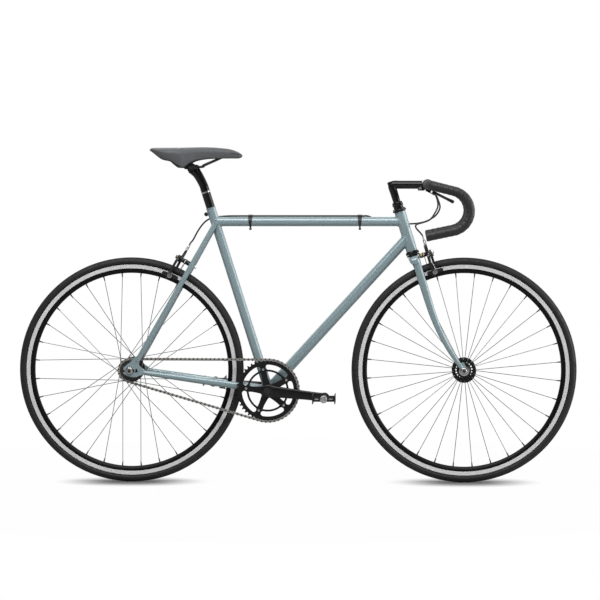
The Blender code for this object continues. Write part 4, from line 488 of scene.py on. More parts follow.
def make_blacks():
    dull, duller = {"Specular_IOR_Level": 0.35}, {"Specular_IOR_Level": 0.16}
    glossy = {"Coat_Weight": 0.1, "Coat_Roughness": 0.08, **dull}
    plain_finish("gloss_black", "black_paint", (0.004, 0.004, 0.0045), 0.2, wear=0.05, **glossy)
    for name, slot, tone, blue, rough, settings in (
        ("satin_black", "black_alloy", 0.007, 0.0075, 0.3, {"grain": 1400, "wear": 0.05, **dull}),
        ("cast_black", "black_alloy", 0.008, 0.0085, 0.46, {"grain": 700, "depth": 4e-5, "wear": 0.05}),
        ("rim_black", "rim_alloy", 0.005, 0.0055, 0.36, {"grain": 1200, "wear": 0.03, **duller}),
        ("pad_rubber", "black_alloy", 0.022, 0.023, 0.75, {"blotch": 0.15, "grain": 500, "depth": 6e-5}),
        ("plastic_black", "housing_black", 0.016, 0.017, 0.42, {"grain": 800, "depth": 4e-5, "wear": 0.03}),
    ):
        plain_finish(name, slot, (tone, tone, blue), rough, **settings)


def make_metals():
    for name, slot, colour, rough, metallic, blotch, grain, depth in (
        ("steel_bright", "zinc_steel", (0.62, 0.62, 0.62), 0.24, 1.0, 0.08, 1200, 2e-5),
        ("steel_dark", "zinc_steel", (0.1, 0.1, 0.105), 0.32, 1.0, 0.2, 900, 2e-5),
        ("brass", "zinc_steel", (0.25, 0.2, 0.1), 0.42, 1.0, 0.15, 900, 2e-5),
        ("spoke_fine", "spoke_steel", (0.22, 0.22, 0.225), 0.34, 1.0, 0.15, 1500, 1e-5),
        ("nipple_dark", "spoke_steel", (0.03, 0.03, 0.03), 0.35, 0.7, 0.1, 1500, 1e-5),
        ("chain_plate", "chain_steel", (0.44, 0.43, 0.41), 0.32, 0.6, 0.2, 1100, 2e-5),
        ("chain_dark", "chain_steel", (0.06, 0.057, 0.053), 0.4, 0.5, 0.3, 900, 3e-5),
    ):
        plain_finish(name, slot, colour, rough, metallic, blotch, grain, depth)
    strand = plain_finish("cable_strand", "zinc_steel", (0.5, 0.5, 0.5), 0.3, 1.0, blotch=0.05, grain=1500)
    inputs = {"Vector": strand.spot, "Scale": 420.0}
    strand.bump(strand.node("ShaderNodeTexWave", inputs, bands_direction="DIAGONAL").outputs["Fac"], 1.2e-4)


def make_track():
    """The machined brake track, with fine grooves round the wheel."""
    track = Graph("brake_track", "rim_alloy", 0.28, 0.2)
    x, _, z = track.axes()
    out = track.math("SQRT", track.math("ADD", track.math("POWER", x, 2.0), track.math("POWER", z, 2.0)))
    inputs = {"W": out, "Scale": 5200.0, "Detail": 2.0}
    lathe = track.node("ShaderNodeTexNoise", inputs, noise_dimensions="1D").outputs["Fac"]
    blend = track.span(track.noise(14), 0, 1)
    track.set("Base Color", track.mix(blend, (0.8, 0.8, 0.81), (0.88, 0.88, 0.89)))
    track.set("Roughness", track.span(lathe, 0.22, 0.4))
    track.bump(lathe, 2.5e-5)


def make_rubbers():
    for name, rough, tone in (("tyre_tread", 0.78, 0.012), ("tyre_wall", 0.62, 0.01)):
        rubber = Graph(name, "tyre_rubber", rough, Sheen_Weight=0.03, Sheen_Roughness=0.5)
        dusty = rubber.span(rubber.noise(22, 5.0), 0, 1)
        dust = rubber.mix(dusty, (tone * 0.85,) * 3, (tone * 1.25, tone * 1.2, tone * 1.15))
        rubber.set("Base Color", dust)
        rubber.set("Roughness", rubber.span(rubber.noise(60), rough - 0.08, rough + 0.1))
        rubber.bump(rubber.noise(1300), 3e-5)
        if name == "tyre_tread":
            cut_tread(rubber, pitch=0.0062, slant=0.011)


def cut_tread(rubber, pitch, slant):
    """Slanted cuts on both shoulders of the tread, and none on its middle."""
    x, y, z = rubber.axes()
    aside = rubber.math("ABSOLUTE", y)
    around = rubber.math("MULTIPLY", rubber.math("ARCTAN2", z, x), TREAD_RADIUS * math.tau / pitch)
    lean = rubber.math("MULTIPLY", aside, math.tau / slant)
    ripple = rubber.math("SINE", rubber.math("ADD", around, lean))
    shoulder = rubber.span(aside, 0, 1, 0.0035, 0.0045)
    rubber.bump(rubber.math("MULTIPLY", rubber.span(ripple, 0, 1, 0.55, 0.8), shoulder), 2.5e-4, 0.8)


def make_covers():
    """The bar tape, the saddle's cover and the cable housings."""
    tape = Graph("bar_tape_fine", "bar_tape", 0.5, Sheen_Weight=0.05, Sheen_Roughness=0.6)
    tape.look(60, (0.012, 0.012, 0.013), (0.021, 0.021, 0.023), 200, 0.4, 0.58)
    tape.bump(tape.cells(900), 1.2e-4, 0.6)
    tape.bump(tape.noise(2600), 3e-5)

    cover = Graph("saddle_cover_fine", "saddle_cover", 0.5, Sheen_Weight=0.15, Sheen_Roughness=0.45)
    cover.look(30, (0.082, 0.084, 0.09), (0.096, 0.098, 0.105), 70, 0.42, 0.58)
    pebble = cover.cells(1000, feature="DISTANCE_TO_EDGE")
    cover.bump(cover.span(pebble, 0, 1, 0.0, 0.25), 6e-5, 0.6)
    cover.bump(cover.noise(420), 4e-5)

    housing = Graph("housing_fine", "housing_black", 0.34)
    housing.look(50, (0.012, 0.012, 0.013), (0.02, 0.02, 0.021), 140, 0.28, 0.42)
    housing.bump(housing.noise(300), 2e-5)


def piece(name, shape, body, finishes, stands_for=(), origin=(0, 0, 0), bevel=0.0, sharp=38, subdivide=0):
    """One named piece that rides on a body. Its textures are placed from origin."""
    finishes = [finishes] if isinstance(finishes, str) else finishes
    obj = object_of(shape)
    obj.name = obj.data.name = name
    obj.data.transform(Matrix.Translation(-Vector(origin)))
    obj.location = origin
    for finish in finishes:
        obj.data.materials.append(MATERIALS[finish])
    obj.data.shade_smooth()
    if bevel:
        rounding = obj.modifiers.new("rounding", "BEVEL")
        rounding.width, rounding.segments = bevel, 2
        rounding.limit_method, rounding.angle_limit = "ANGLE", math.radians(sharp)
        rounding.harden_normals = True
    else:
        obj.data.set_sharp_from_angle(angle=math.radians(sharp))
    if subdivide:
        finer = obj.modifiers.new("finer", "SUBSURF")
        finer.levels = finer.render_levels = subdivide
    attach(obj, body)
    if stands_for:
        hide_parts(*([stands_for] if isinstance(stands_for, str) else stands_for))
    return obj


def fine(node, shape, body, finishes, **settings):
    """The piece that stands for one node of the CAD and is named after it."""
    return piece(f"{node}_fine", shape, body, finishes, node, **settings)


def painted(node, shape, **settings):
    """A painted piece of the frame."""
    return fine(node, shape, "frame", "frame_paint_fine", **settings)


def hexagon(shape, radius, low, high, place, chamfer=0.0007):
    """A hexagonal nut or bolt head with chamfered ends, whose radius reaches its corners."""
    inset = radius - chamfer
    profile = ((inset, low), (radius, low + chamfer), (radius, high - chamfer), (inset, high))
    return shape.turned(profile, 6, place)


def washer(bore, radius, low, high):
    return (bore, low), (radius, low), (radius, high), (bore, high)


# Frame

TUBE_FINE = 56
SEAT_RADIUS, TOP_RADIUS, DOWN_RADIUS, HEAD_RADIUS, SHELL_RADIUS = 0.0143, 0.0143, 0.0159, 0.017, 0.02
TUBE_WALL = 0.001
TOP_START, TOP_END = BRACKET + SEAT_UP * 0.532, HEAD_BASE + STEER_UP * 0.0928
DOWN_END = HEAD_BASE + STEER_UP * 0.0424
HEAD_HEIGHT = 0.124
SHELL_HALF = 0.034
REAR_SPREAD, STAY_RADIUS = 0.063, 0.0079
BINDER_SPOT = (-0.0185, 0, -0.015)  # in the seat tube's own axes
SEAT_TUBE = (BRACKET, SEAT_UP, SEAT_RADIUS)
HEAD_TUBE = (HEAD_BASE, STEER_UP, HEAD_RADIUS)
SHELL = (BRACKET, LEFT, SHELL_RADIUS)


def off_tube(point, direction, tube, inset=0.0003):
    """Where a line from inside a tube comes out. A tube is a point of its axis, a direction and a radius."""
    base, axis, radius = tube
    offset = point - base
    run = direction - axis * direction.dot(axis)
    start = offset - axis * offset.dot(axis)
    a, b, c = run.dot(run), start.dot(run), start.dot(start) - (radius - inset) ** 2
    return point + direction * ((-b + math.sqrt(max(b * b - a * c, 0))) / a)


def bead(shape, ring, radius=0.0023):
    """A weld bead along a joint between two tubes."""
    path = resampled([*ring, ring[0]], 0.0007)[:-1]

    def rippled(distance, angle):
        return radius * (1 + 0.05 * math.sin(distance * math.tau / 0.003))

    shape.sweep(path, rippled, 8, UP, closed=True)


def mitred_tube(start, end, radius, on_start=None, on_end=None, wall=TUBE_WALL):
    """A hollow tube whose ends are shaped to the tubes that they meet, and the outline of each end."""
    along = (end - start).normalized()
    lengths = max(1, round((end - start).length / 0.05))
    points = [start.lerp(end, i / lengths) for i in range(lengths + 1)]
    radii = [radius] * len(points)
    outer = tube_rings(points, radii, TUBE_FINE, LEFT)
    thinner = [radius - wall] * len(points)
    inner = tube_rings(points, thinner, TUBE_FINE, LEFT)
    for rings in (outer, inner):
        if on_start:
            rings[0] = [off_tube(p, along, on_start) for p in rings[0]]
        if on_end:
            rings[-1] = [off_tube(p, -along, on_end) for p in rings[-1]]
    return Shape().loft(outer + inner[::-1], closed=True), outer[0], outer[-1]


def seat_stay_ends(side):
    top = BRACKET + SEAT_UP * 0.526 + LEFT * side * 0.0175
    return top, REAR_AXLE + Vector((0.0238, side * REAR_SPREAD, 0.032))


def build_head_tube():
    bore, edge = 0.0155, 0.0006
    low, high = 0, HEAD_HEIGHT
    outside = [
        (HEAD_RADIUS - edge, low), (HEAD_RADIUS, edge), (HEAD_RADIUS, high - edge), (HEAD_RADIUS - edge, high)
    ]
    profile = [(bore, low), *outside, (bore, high)]
    painted("head_tube", Shape().turned(profile, TUBE_FINE, STEERING, closed=True))


def build_long_tubes(welds):
    for name, start, end, radius, on_start in (
        ("top_tube", TOP_START, TOP_END, TOP_RADIUS, SEAT_TUBE),
        ("down_tube", BRACKET, DOWN_END, DOWN_RADIUS, SHELL),
    ):
        tube, first, last = mitred_tube(start, end, radius, on_start, HEAD_TUBE)
        painted(name, tube)
        bead(welds, first)
        bead(welds, last)


def build_seat_tube(welds):
    """The tube is slotted at the rear, under a lug for the binder bolt."""
    tube, first, _ = mitred_tube(BRACKET, SEAT_TOP, SEAT_RADIUS, SHELL, wall=0.0004)
    bead(welds, first)
    slot = 0.0011
    half = LEFT * 0.011
    bolt = at(SEAT, *BINDER_SPOT)
    lug = joined(
        Shape().sweep([bolt - half, bolt + half], 0.0062, 24),
        Shape().box((-0.0185, -0.0109, -0.0205), (-0.012, 0.0109, -0.0095), SEAT),
    )
    lug = cut(
        lug,
        Shape().box((-0.035, -slot, -0.04), (-0.013, slot, 0.0), SEAT),
        Shape().sweep([bolt - LEFT * 0.02, bolt + LEFT * 0.02], 0.0028, 16),
        Shape().sweep([at(SEAT, 0, 0, -0.06), at(SEAT, 0, 0, 0.01)], 0.014, 48),
    )
    tube = cut(tube, Shape().box((-0.02, -slot, -0.034), (-0.005, slot, 0.01), SEAT))
    painted("seat_tube", tube)
    piece("seat_tube_lug", lug, "frame", "frame_paint_fine", bevel=0.0004)
    bead(welds, [at(SEAT, *polar(SEAT_RADIUS + 0.0005, a), -0.0015) for a in even_turn(48)], 0.0009)


def build_shell():
    half, lip = SHELL_HALF, 0.0008
    profile = both_ways([(0.0174, -half), (SHELL_RADIUS - lip, -half), (SHELL_RADIUS, -half + lip)])
    shape = Shape().turned(profile, 72, across(BRACKET), closed=True)
    painted("bottom_bracket_shell", shape)


def track_end_outline():
    """Seen from the right, with the axle at the origin. The slot runs in from the rear under a curved web."""
    slot, rear, front = 0.0054, -0.0185, 0.02
    top, foot = seat_stay_ends(0)
    up = (top - foot).normalized()
    back = Vector((-up.z, 0, up.x))
    beside = [
        foot - REAR_AXLE + back * aside + up * along
        for aside, along in ((0.0066, 0.016), (-0.0064, 0.016), (-0.0072, -0.003))
    ]
    web = [
        (rear, slot), (rear, slot + 0.0048), (-0.0085, 0.0175), (0.0025, 0.0262), (0.011, 0.034),
        *((point.x, point.z) for point in beside), (0.0275, 0.0205), (0.0302, 0.0135), (0.0365, 0.0068),
        (0.045, 0.003), (0.045, -0.0114), (0.0365, -0.0128), (0.029, -0.0148), (0.021, -0.0186),
        (0.011, -0.0198), (0.0, -0.018), (-0.0118, -0.013), (rear, -0.0086), (rear, -slot),
    ]
    end = [
        (front + slot * 0.9 * math.sin(a), -slot * math.cos(a))
        for a in [math.pi * i / 12 for i in range(13)]
    ]
    return filleted(web, 0.004) + end


def build_track_end(name, side):
    middle = -side * REAR_SPREAD
    shape = Shape().plate(track_end_outline(), middle - 0.003, middle + 0.003, drive_side(REAR_AXLE))
    painted(f"track_end_{name}", shape, bevel=0.0007)


def build_seat_stay(name, side, welds):
    top, foot = seat_stay_ends(side)
    down = (foot - top).normalized()
    stations = [top, top.lerp(foot, 0.5), *(foot + down * past for past in (-0.03, -0.012, 0.002))]
    radii = [STAY_RADIUS, STAY_RADIUS, 0.0077, 0.007, 0.0062]
    rings = tube_rings(stations, radii, 32, LEFT)
    rings[0] = [off_tube(p, down, SEAT_TUBE) if (p - top).dot(LEFT) * side < 0.006 else p for p in rings[0]]
    rings += dome(rings[-1], stations[-1], down, 0.005)
    painted(f"seat_stay_{name}", Shape().loft(rings))
    bead(welds, rings[0], 0.0012)


def build_chain_stay(name, side, welds):
    """Flattened behind the bottom bracket to clear the tyre, and tapered to a domed end."""
    start = BRACKET + LEFT * side * 0.022
    end = REAR_AXLE + Vector((0.037, side * REAR_SPREAD, -0.005))
    along = (end - start).normalized()
    flat = (0.0105, 0.0072)
    shares = [0, 0.12, 0.25, 0.45, 0.6, 0.8, 0.93, 0.985]
    radii = [
        flat, flat, flat, (0.0101, 0.0078), (0.0095, 0.0082), (0.0083, 0.0077), (0.0075, 0.0072),
        (0.0066, 0.0066),
    ]
    rings = tube_rings([start.lerp(end, t) for t in shares], radii, 32, LEFT)
    rings[0] = [off_tube(p, along, SHELL) for p in rings[0]]
    rings += dome(rings[-1], start.lerp(end, shares[-1]), along, 0.006)
    painted(f"chain_stay_{name}", Shape().loft(rings))
    bead(welds, rings[0], 0.002)


def rear_brake_place():
    """Local x points away from the frame along the brake bolt, and local z up the stays."""
    top, foot = seat_stay_ends(0)
    foot.y = top.y = 0
    up = (top - foot).normalized()
    return place_of(foot + up * 0.3244, Vector((-up.z, 0, up.x)), -LEFT, up)


def build_brake_bridge(welds):
    place = rear_brake_place()
    centre = place.translation
    ends = []
    for _, side in SIDES:
        top, foot = seat_stay_ends(side)
        stay = (foot, (top - foot).normalized(), STAY_RADIUS)
        on_stay = foot + stay[1] * (centre - foot).dot(stay[1])
        ends.append((Vector((centre.x, on_stay.y, centre.z)), stay))
    (start, left), (end, right) = ends
    tube, first, last = mitred_tube(start, end, 0.0075, left, right, wall=0.0012)
    bead(welds, first, 0.0016)
    bead(welds, last, 0.0016)
    boss = Shape().sweep([at(place, -0.0088, 0, 0), at(place, 0.0088, 0, 0)], 0.0062, 24, UP)
    painted("brake_bridge", joined(tube, boss))


def build_headset():
    bore, spigot, radius = 0.0131, 0.0152, 0.0207
    top = HEAD_HEIGHT
    upper = (
        (bore, top - 0.01), (spigot, top - 0.01), (spigot, top + 0.0003), (radius - 0.0022, top + 0.0004),
        (radius - 0.0004, top + 0.0018), (radius, top + 0.0028), (radius, top + 0.0058),
        (radius - 0.0005, top + 0.0068), (radius - 0.0015, top + 0.007), (bore, top + 0.007),
    )
    lower = (
        (bore, 0.01), (spigot, 0.01), (spigot, -0.0003), (radius - 0.0024, -0.0004),
        (radius - 0.0012, -0.0022), (radius, -0.0036), (radius, -0.0086), (radius - 0.0006, -0.0097),
        (bore, -0.01),
    )
    for name, profile in (("upper", upper), ("lower", lower)):
        cup = Shape().turned(profile, 64, STEERING, closed=True)
        fine(f"headset_{name}_cup", cup, "frame", "gloss_black")
    build_race_and_locknut(HEAD_HEIGHT + 0.0074)


def build_race_and_locknut(base):
    """The knurled race, the eight-sided locknut and its cap stand on each other from base up."""
    thread, outer = 0.013, 0.019
    bore = thread + 0.0001
    race = (
        (thread, 0), (0.0186, 0), (outer, 0.0006), (outer, 0.0022), (0.0184, 0.0028), (0.015, 0.003),
        (0.015, 0.0107), (thread, 0.0107),
    )
    nut = (
        (bore, 0.0109), (0.0156, 0.0109), (0.0168, 0.0115), (0.0168, 0.0162), (0.016, 0.0168), (bore, 0.0168)
    )
    cap = ((bore, 0.0168), (0.0155, 0.0168), (0.0155, 0.0215), (0.0148, 0.0227), (bore, 0.0228))
    shape = Shape().turned([(r, base + h) for r, h in race], 64, STEERING, closed=True)
    ring = [polar(outer if i % 2 else 0.0184, a) for i, a in enumerate(even_turn(96))]
    shape.loft([[at(STEERING, x, y, base + h) for x, y in ring] for h in (0.0006, 0.0022)])
    shape.turned([(r, base + h) for r, h in nut], 8, STEERING, closed=True)
    shape.turned([(r, base + h) for r, h in cap], 64, STEERING, closed=True)
    piece("headset_locknut_fine", shape, "fork", "gloss_black", "headset_race_and_locknut")


def build_bottom_bracket():
    bore = 0.009
    profile = (
        (bore, -0.0365), (0.018, -0.0365), (0.0188, -0.0358), (0.0188, -0.0344), (0.017, -0.0343),
        (0.017, 0.034), (bore, 0.034),
    )
    shape = Shape().turned(profile, 64, across(BRACKET), closed=True)
    for angle in even_turn(8):
        notch = across(BRACKET) @ Matrix.Rotation(angle, 4, "Z")
        for low, high in ((-0.0368, -0.0363), (0.0338, 0.0343)):
            shape.box((0.0125, -0.0012, low), (0.0165, 0.0012, high), notch)
    fine("bottom_bracket_cartridge", shape, "frame", "satin_black")


def build_binder_bolt():
    place = across(at(SEAT, *BINDER_SPOT))
    shape = Shape()
    shape.turned(((0.0025, -0.012), (0.0025, 0.012)), 16, place)
    head = (
        (0.002, -0.0136), (0.0024, -0.015), (0.0052, -0.015), (0.0056, -0.0145), (0.0056, -0.0113),
        (0.0024, -0.0113),
    )
    shape.turned(head, 24, place)
    hexagon(shape, 0.0054, 0.0113, 0.0148, place)
    fine("seat_binder_bolt", shape, "frame", "steel_dark")


def build_axle(name, centre, radius, width, end_thickness, body, finish):
    """Cones inside the frame ends, washers with teeth and hexagonal nuts outside, and a threaded axle."""
    place = across(centre)
    inside = width / 2
    outside = inside + end_thickness + 0.0006
    nut = outside + 0.0016
    tip = nut + 0.0085 + 0.005
    threads = []
    for i in range(7):
        h = nut + 0.008 + i * 0.00085
        threads += [(radius * 0.9, h), (radius, h + 0.0004)]
    threads = [pair for pair in threads if pair[1] < tip - 0.0006]
    threads += [(radius * 0.86, tip), (radius * 0.5, tip), (radius * 0.4, tip - 0.001)]
    shape = Shape().turned(both_ways([(r, -h) for r, h in threads[::-1]]), 28, place)
    cone = (
        (radius, inside - 0.0095), (0.0088, inside - 0.0095), (0.009, inside - 0.009),
        (0.009, inside - 0.0004), (0.0086, inside), (radius, inside),
    )
    toothed_washer = (
        (radius, outside), (0.0108, outside), (0.011, outside + 0.0004), (0.011, nut - 0.0003), (0.0107, nut),
        (radius, nut),
    )
    flange = (
        (radius, nut), (0.0098, nut), (0.0098, nut + 0.0014), (0.0085, nut + 0.0022), (radius, nut + 0.0022),
    )
    for sign in (-1, 1):
        side = mirrored(place, sign)
        shape.turned(cone, 32, side, closed=True)
        shape.turned(toothed_washer, 40, side, closed=True)
        shape.mark = 1
        hexagon(shape, 0.009, nut, nut + 0.0078, side, 0.0009)
        shape.turned(flange, 40, side, closed=True)
        shape.mark = 0
    fine(name, shape, body, ["steel_dark", finish], origin=centre)


# Wheels

TREAD_RADIUS = 0.339
HUB_HOLES, RIM_HOLE = 0.032, 0.0015  # radius in the hub's flange, and aside in the rim
WHEEL_SIDES, SPOKES = 180, 32


def on_wheel(centre, angle, radius, aside):
    """A point of a wheel by its angle above forward, as seen from the right."""
    return centre + Vector((radius * math.cos(angle), aside, radius * math.sin(angle)))


def tyre_section():
    """Half a tyre's outside: the wall from the bead up, and the grooved tread to its middle."""
    wall = smooth_pairs((
        (0.309, 0.0084), (0.318, 0.0086), (0.3192, 0.01), (0.3222, 0.0127), (0.3265, 0.0139),
        (0.3312, 0.0128), (0.3345, 0.0103),
    ), 3)
    tread = smooth_pairs(((0.3345, 0.0103), (0.3372, 0.0074), (0.3386, 0.004), (TREAD_RADIUS, 0.0)), 5)
    grooved = []
    for radius, aside in tread[1:]:
        if any(abs(aside - groove) < 0.0006 for groove in (0.0075, 0.004)):
            grooved += [(radius, aside + 0.0003), (radius - 0.0005, aside), (radius, aside - 0.0003)]
        else:
            grooved.append((radius, aside))
    above_rim = [pair for pair in wall if pair[0] > 0.3206]
    edge = [(0.309, 0.0084), (0.3181, 0.0086), (0.319, 0.0096), (0.3196, 0.0098), (0.32, 0.0107)]
    ribbed = [(r, a + (0.00018 if i % 3 == 0 else 0)) for i, (r, a) in enumerate(edge + above_rim)]
    return ribbed, grooved


def build_tyre(name, centre, body):
    wall, tread = tyre_section()
    half = wall + tread[:-1]
    inside = [(0.335, 0.0), (0.334, 0.005), (0.329, 0.0105), (0.322, 0.0098), (0.309, 0.0066)]
    profile = half + [(TREAD_RADIUS, 0.0)] + [(r, -a) for r, a in half[::-1]]
    outside = len(profile) + 1
    profile += [(r, -a) for r, a in inside[::-1]] + inside[1:]
    shape = Shape().turned(profile, WHEEL_SIDES, across(centre), closed=True, phase=math.pi / 2)
    for i in range(len(profile)):
        radius = (profile[i][0] + profile[(i + 1) % len(profile)][0]) / 2
        on_wall = radius <= 0.3348 or i >= outside
        shape.marks[i * WHEEL_SIDES : (i + 1) * WHEEL_SIDES] = [int(on_wall)] * WHEEL_SIDES
    fine(f"{name}_tyre", shape, body, ["tyre_tread", "tyre_wall"], origin=centre, sharp=50)


def build_rim(name, centre, body):
    """A rounded box with a machined track on each side, whose inner edges hold the tyre."""
    nose = smooth_pairs(
        ((0.292, 0.0), (0.2921, 0.0026), (0.2938, 0.0056), (0.2985, 0.0084), (0.305, 0.0103)), 4
    )
    track = [
        (0.3056, 0.0103), (0.306, 0.0105), (0.3112, 0.0105), (0.3114, 0.01035), (0.3117, 0.0105),
        (0.3174, 0.0105),
    ]
    lip = [(0.318, 0.0101), (0.318, 0.0093), (0.3168, 0.0089), (0.3084, 0.0089), (0.3084, 0.0)]
    half = nose[1:] + track + lip
    profile = [nose[0], *half, *((r, -a) for r, a in half[:-1][::-1])]
    shape = Shape().turned(profile, WHEEL_SIDES, across(centre), closed=True)
    for i, (a, b) in enumerate(zip(profile, profile[1:] + profile[:1])):
        if min(a[0], b[0]) >= 0.3059 and max(a[0], b[0]) <= 0.3175 and min(abs(a[1]), abs(b[1])) > 0.01:
            shape.marks[i * WHEEL_SIDES : (i + 1) * WHEEL_SIDES] = [1] * WHEEL_SIDES
    fine(f"{name}_rim", shape, body, ["rim_black", "brake_track"], origin=centre, sharp=30)


def out_of_rim(centre, angle, radius, aside):
    """Local z points away from the hub."""
    out = on_wheel(Vector(), angle, 1, 0)
    return place_of(on_wheel(centre, angle, radius, aside), LEFT, out.cross(LEFT), out)


def build_nipples(name, centre, body, angles):
    profile = ((0.0013, 0), (0.0017, 0.0004), (0.0017, 0.006), (0.0021, 0.0068), (0.0021, 0.0138))
    nipples = Shape()
    for i, angle in enumerate(angles):
        nipples.turned(profile, 8, out_of_rim(centre, angle, 0.28, RIM_HOLE * (1 if i % 2 else -1)))
    piece(f"{name}_nipples", nipples, body, "nipple_dark", origin=centre)


def build_valve(name, centre, body, angle):
    """A capped stem with a thread and a knurled nut against the rim."""
    place = out_of_rim(centre, angle, 0.27, 0)
    cap = ((0.001, 0), (0.0026, 0.0004), (0.003, 0.0012), (0.003, 0.008), (0.0026, 0.009))
    valve = Shape().turned(cap, 16, place)
    valve.turned([(0.0024 + 0.0002 * (i % 2), 0.0088 + i * 0.0004) for i in range(30)], 16, place)
    valve.mark = 1
    hexagon(valve, 0.0048, 0.019, 0.0216, place)
    piece(
        f"{name}_valve", valve, body, ["plastic_black", "steel_bright"], f"{name}_inner_tube", origin=centre
    )


def lace(name, centre, body, flange, angles, turn):
    """Spokes with a head and an elbow at the flange. They cross where turn isn't zero."""
    spokes = Shape()
    for i, angle in enumerate(angles):
        side = 1 if i % 2 else -1
        leading = (i // 2) % 2 == 0
        hub_angle = angle + (turn if leading else -turn)
        out = LEFT * side * (1 if leading or not turn else -1)
        rim = on_wheel(centre, angle, 0.2825, side * RIM_HOLE)
        hole = on_wheel(centre, hub_angle, HUB_HOLES, side * flange)
        head, elbow = hole - out * 0.0026, hole + out * 0.0024
        away = (rim - elbow).normalized()
        path = [head, hole, elbow - out * 0.0008, elbow + away * 0.0012, elbow + away * 0.004, rim]
        spokes.sweep(path, 0.001, 8)
        spokes.sweep([head - out * 0.0006, head + out * 0.0002], 0.0019, 10)
    piece(f"{name}_spokes", spokes, body, "spoke_fine", f"{name}_spoked_hub", origin=centre)


def build_hub(name, centre, body, half, flange, thread, bore, angles, turn):
    """A waisted barrel between two flanges with a spoke hole for each spoke and a ring of small windows."""
    waist = 0.0152
    barrel = smooth_pairs(
        ((0.0215, flange - 0.003), (0.0172, flange - 0.006), (0.0155, flange - 0.011), (waist, 0.0)), 4
    )
    side = [
        (bore, half), (thread - 0.0035, half), (thread - 0.003, half - 0.0008),
        (thread - 0.003, flange + 0.005), (thread, flange + 0.004), (thread + 0.003, flange + 0.001),
        *barrel[:-1],
    ]
    profile = [*side, (waist, 0.0), *((r, -h) for r, h in side[::-1])]
    shape = Shape().turned(profile, 64, across(centre), closed=True)
    for sign in (-1, 1):
        own = [
            a + (turn if (i // 2) % 2 == 0 else -turn)
            for i, a in enumerate(angles)
            if (1 if i % 2 else -1) == sign
        ]
        holes = [circle(0.0013, 10, polar(HUB_HOLES, a)) for a in own]
        first = 62.4 + (10 if sign < 0 else 0)
        holes += [circle(0.0026, 14, polar(0.024, math.radians(first + i * 20))) for i in range(18)]
        middle = -sign * flange
        shape.plate(circle(0.0365, 128), middle - 0.0013, middle + 0.0013, drive_side(centre), holes)
    piece(f"{name}_hub_shell", shape, body, "satin_black", origin=centre, bevel=0.0003, sharp=50)
    cap = (
        (bore, half - 0.0016), (thread - 0.0006, half - 0.0016), (thread, half - 0.001),
        (thread - 0.0002, half), (bore + 0.004, half + 0.001), (bore + 0.002, half + 0.0002),
    )
    caps = Shape()
    for sign in (-1, 1):
        caps.turned(cap, 48, mirrored(across(centre), sign), closed=True)
    piece(f"{name}_hub_dust_caps", caps, body, "steel_bright", origin=centre)


def build_wheels():
    """A valve's place is counted in spokes from the first. Rear spokes leave the hub three holes aside."""
    crossed = 3 * math.tau / (SPOKES // 2)
    for name, centre, first, valve, turn, hub in (
        ("front", FRONT_AXLE, math.radians(94.9), 1.8, 0.0, (0.0402, 0.033, 0.0155, 0.0049)),
        ("rear", REAR_AXLE, math.radians(95.6), -9.5, crossed, (0.0502, 0.034, 0.017, 0.0054)),
    ):
        body = f"{name}_wheel"
        angles = [first + step for step in even_turn(SPOKES)]
        build_tyre(name, centre, body)
        build_rim(name, centre, body)
        build_nipples(name, centre, body, angles)
        build_valve(name, centre, body, first + valve * math.tau / SPOKES)
        build_hub(name, centre, body, *hub, angles, turn)
        lace(name, centre, body, hub[1], angles, turn)
    build_axle("front_axle", FRONT_AXLE, 0.0045, 0.1, 0.005, "fork", "steel_bright")
    build_axle("rear_axle", REAR_AXLE, 0.005, 0.12, 0.006, "frame", "steel_bright")


# Drive

PITCH, CHAIN_LINE = 0.0127, 0.044
RING_TEETH, SPROCKET_TEETH, LINKS = 46, 17, 98


def pitch_radius(teeth):
    return PITCH / (2 * math.sin(math.pi / teeth))


def chain_place(distance):
    """A point of the chain's line, by its distance from the upper end of the sprocket's arc."""
    big, small = pitch_radius(RING_TEETH), pitch_radius(SPROCKET_TEETH)
    between = BRACKET - REAR_AXLE
    tilt = math.atan2(between.z, between.x)
    lean = math.asin((big - small) / between.length)
    straight = between.length * math.cos(lean)
    upper, lower = tilt + math.pi / 2 + lean, tilt - math.pi / 2 - lean
    ring_arc = (upper - lower) / math.tau * RING_TEETH * PITCH
    if distance <= straight:
        return REAR_AXLE + ray(upper, small) + Vector((math.sin(upper), 0, -math.cos(upper))) * distance
    distance -= straight
    if distance <= ring_arc:
        return BRACKET + ray(upper - distance / (RING_TEETH * PITCH) * math.tau, big)
    distance -= ring_arc
    if distance <= straight:
        return BRACKET + ray(lower, big) + Vector((math.sin(lower), 0, -math.cos(lower))) * distance
    distance -= straight
    return REAR_AXLE + ray(lower - distance / (SPROCKET_TEETH * PITCH) * math.tau, small)


PINS = [chain_place(i * PITCH) for i in range(LINKS)]


def first_roller(centre, teeth):
    radius = pitch_radius(teeth)
    seated = [pin - centre for pin in PINS if abs((pin - centre).length - radius) < 1e-4]
    middle = seated[len(seated) // 2]
    return math.atan2(middle.z, middle.x)


def link_outline():
    """A figure of eight between two pins, from the first at the origin to the second along x."""
    outer, waist = 0.0042, 0.0024
    right = arc(outer, -math.pi * 0.62, math.pi * 0.62, 12, (PITCH, 0))
    left = arc(outer, math.pi * 0.38, math.pi * 1.62, 12)
    return [*right, (PITCH / 2, waist), *left, (PITCH / 2, -waist)]


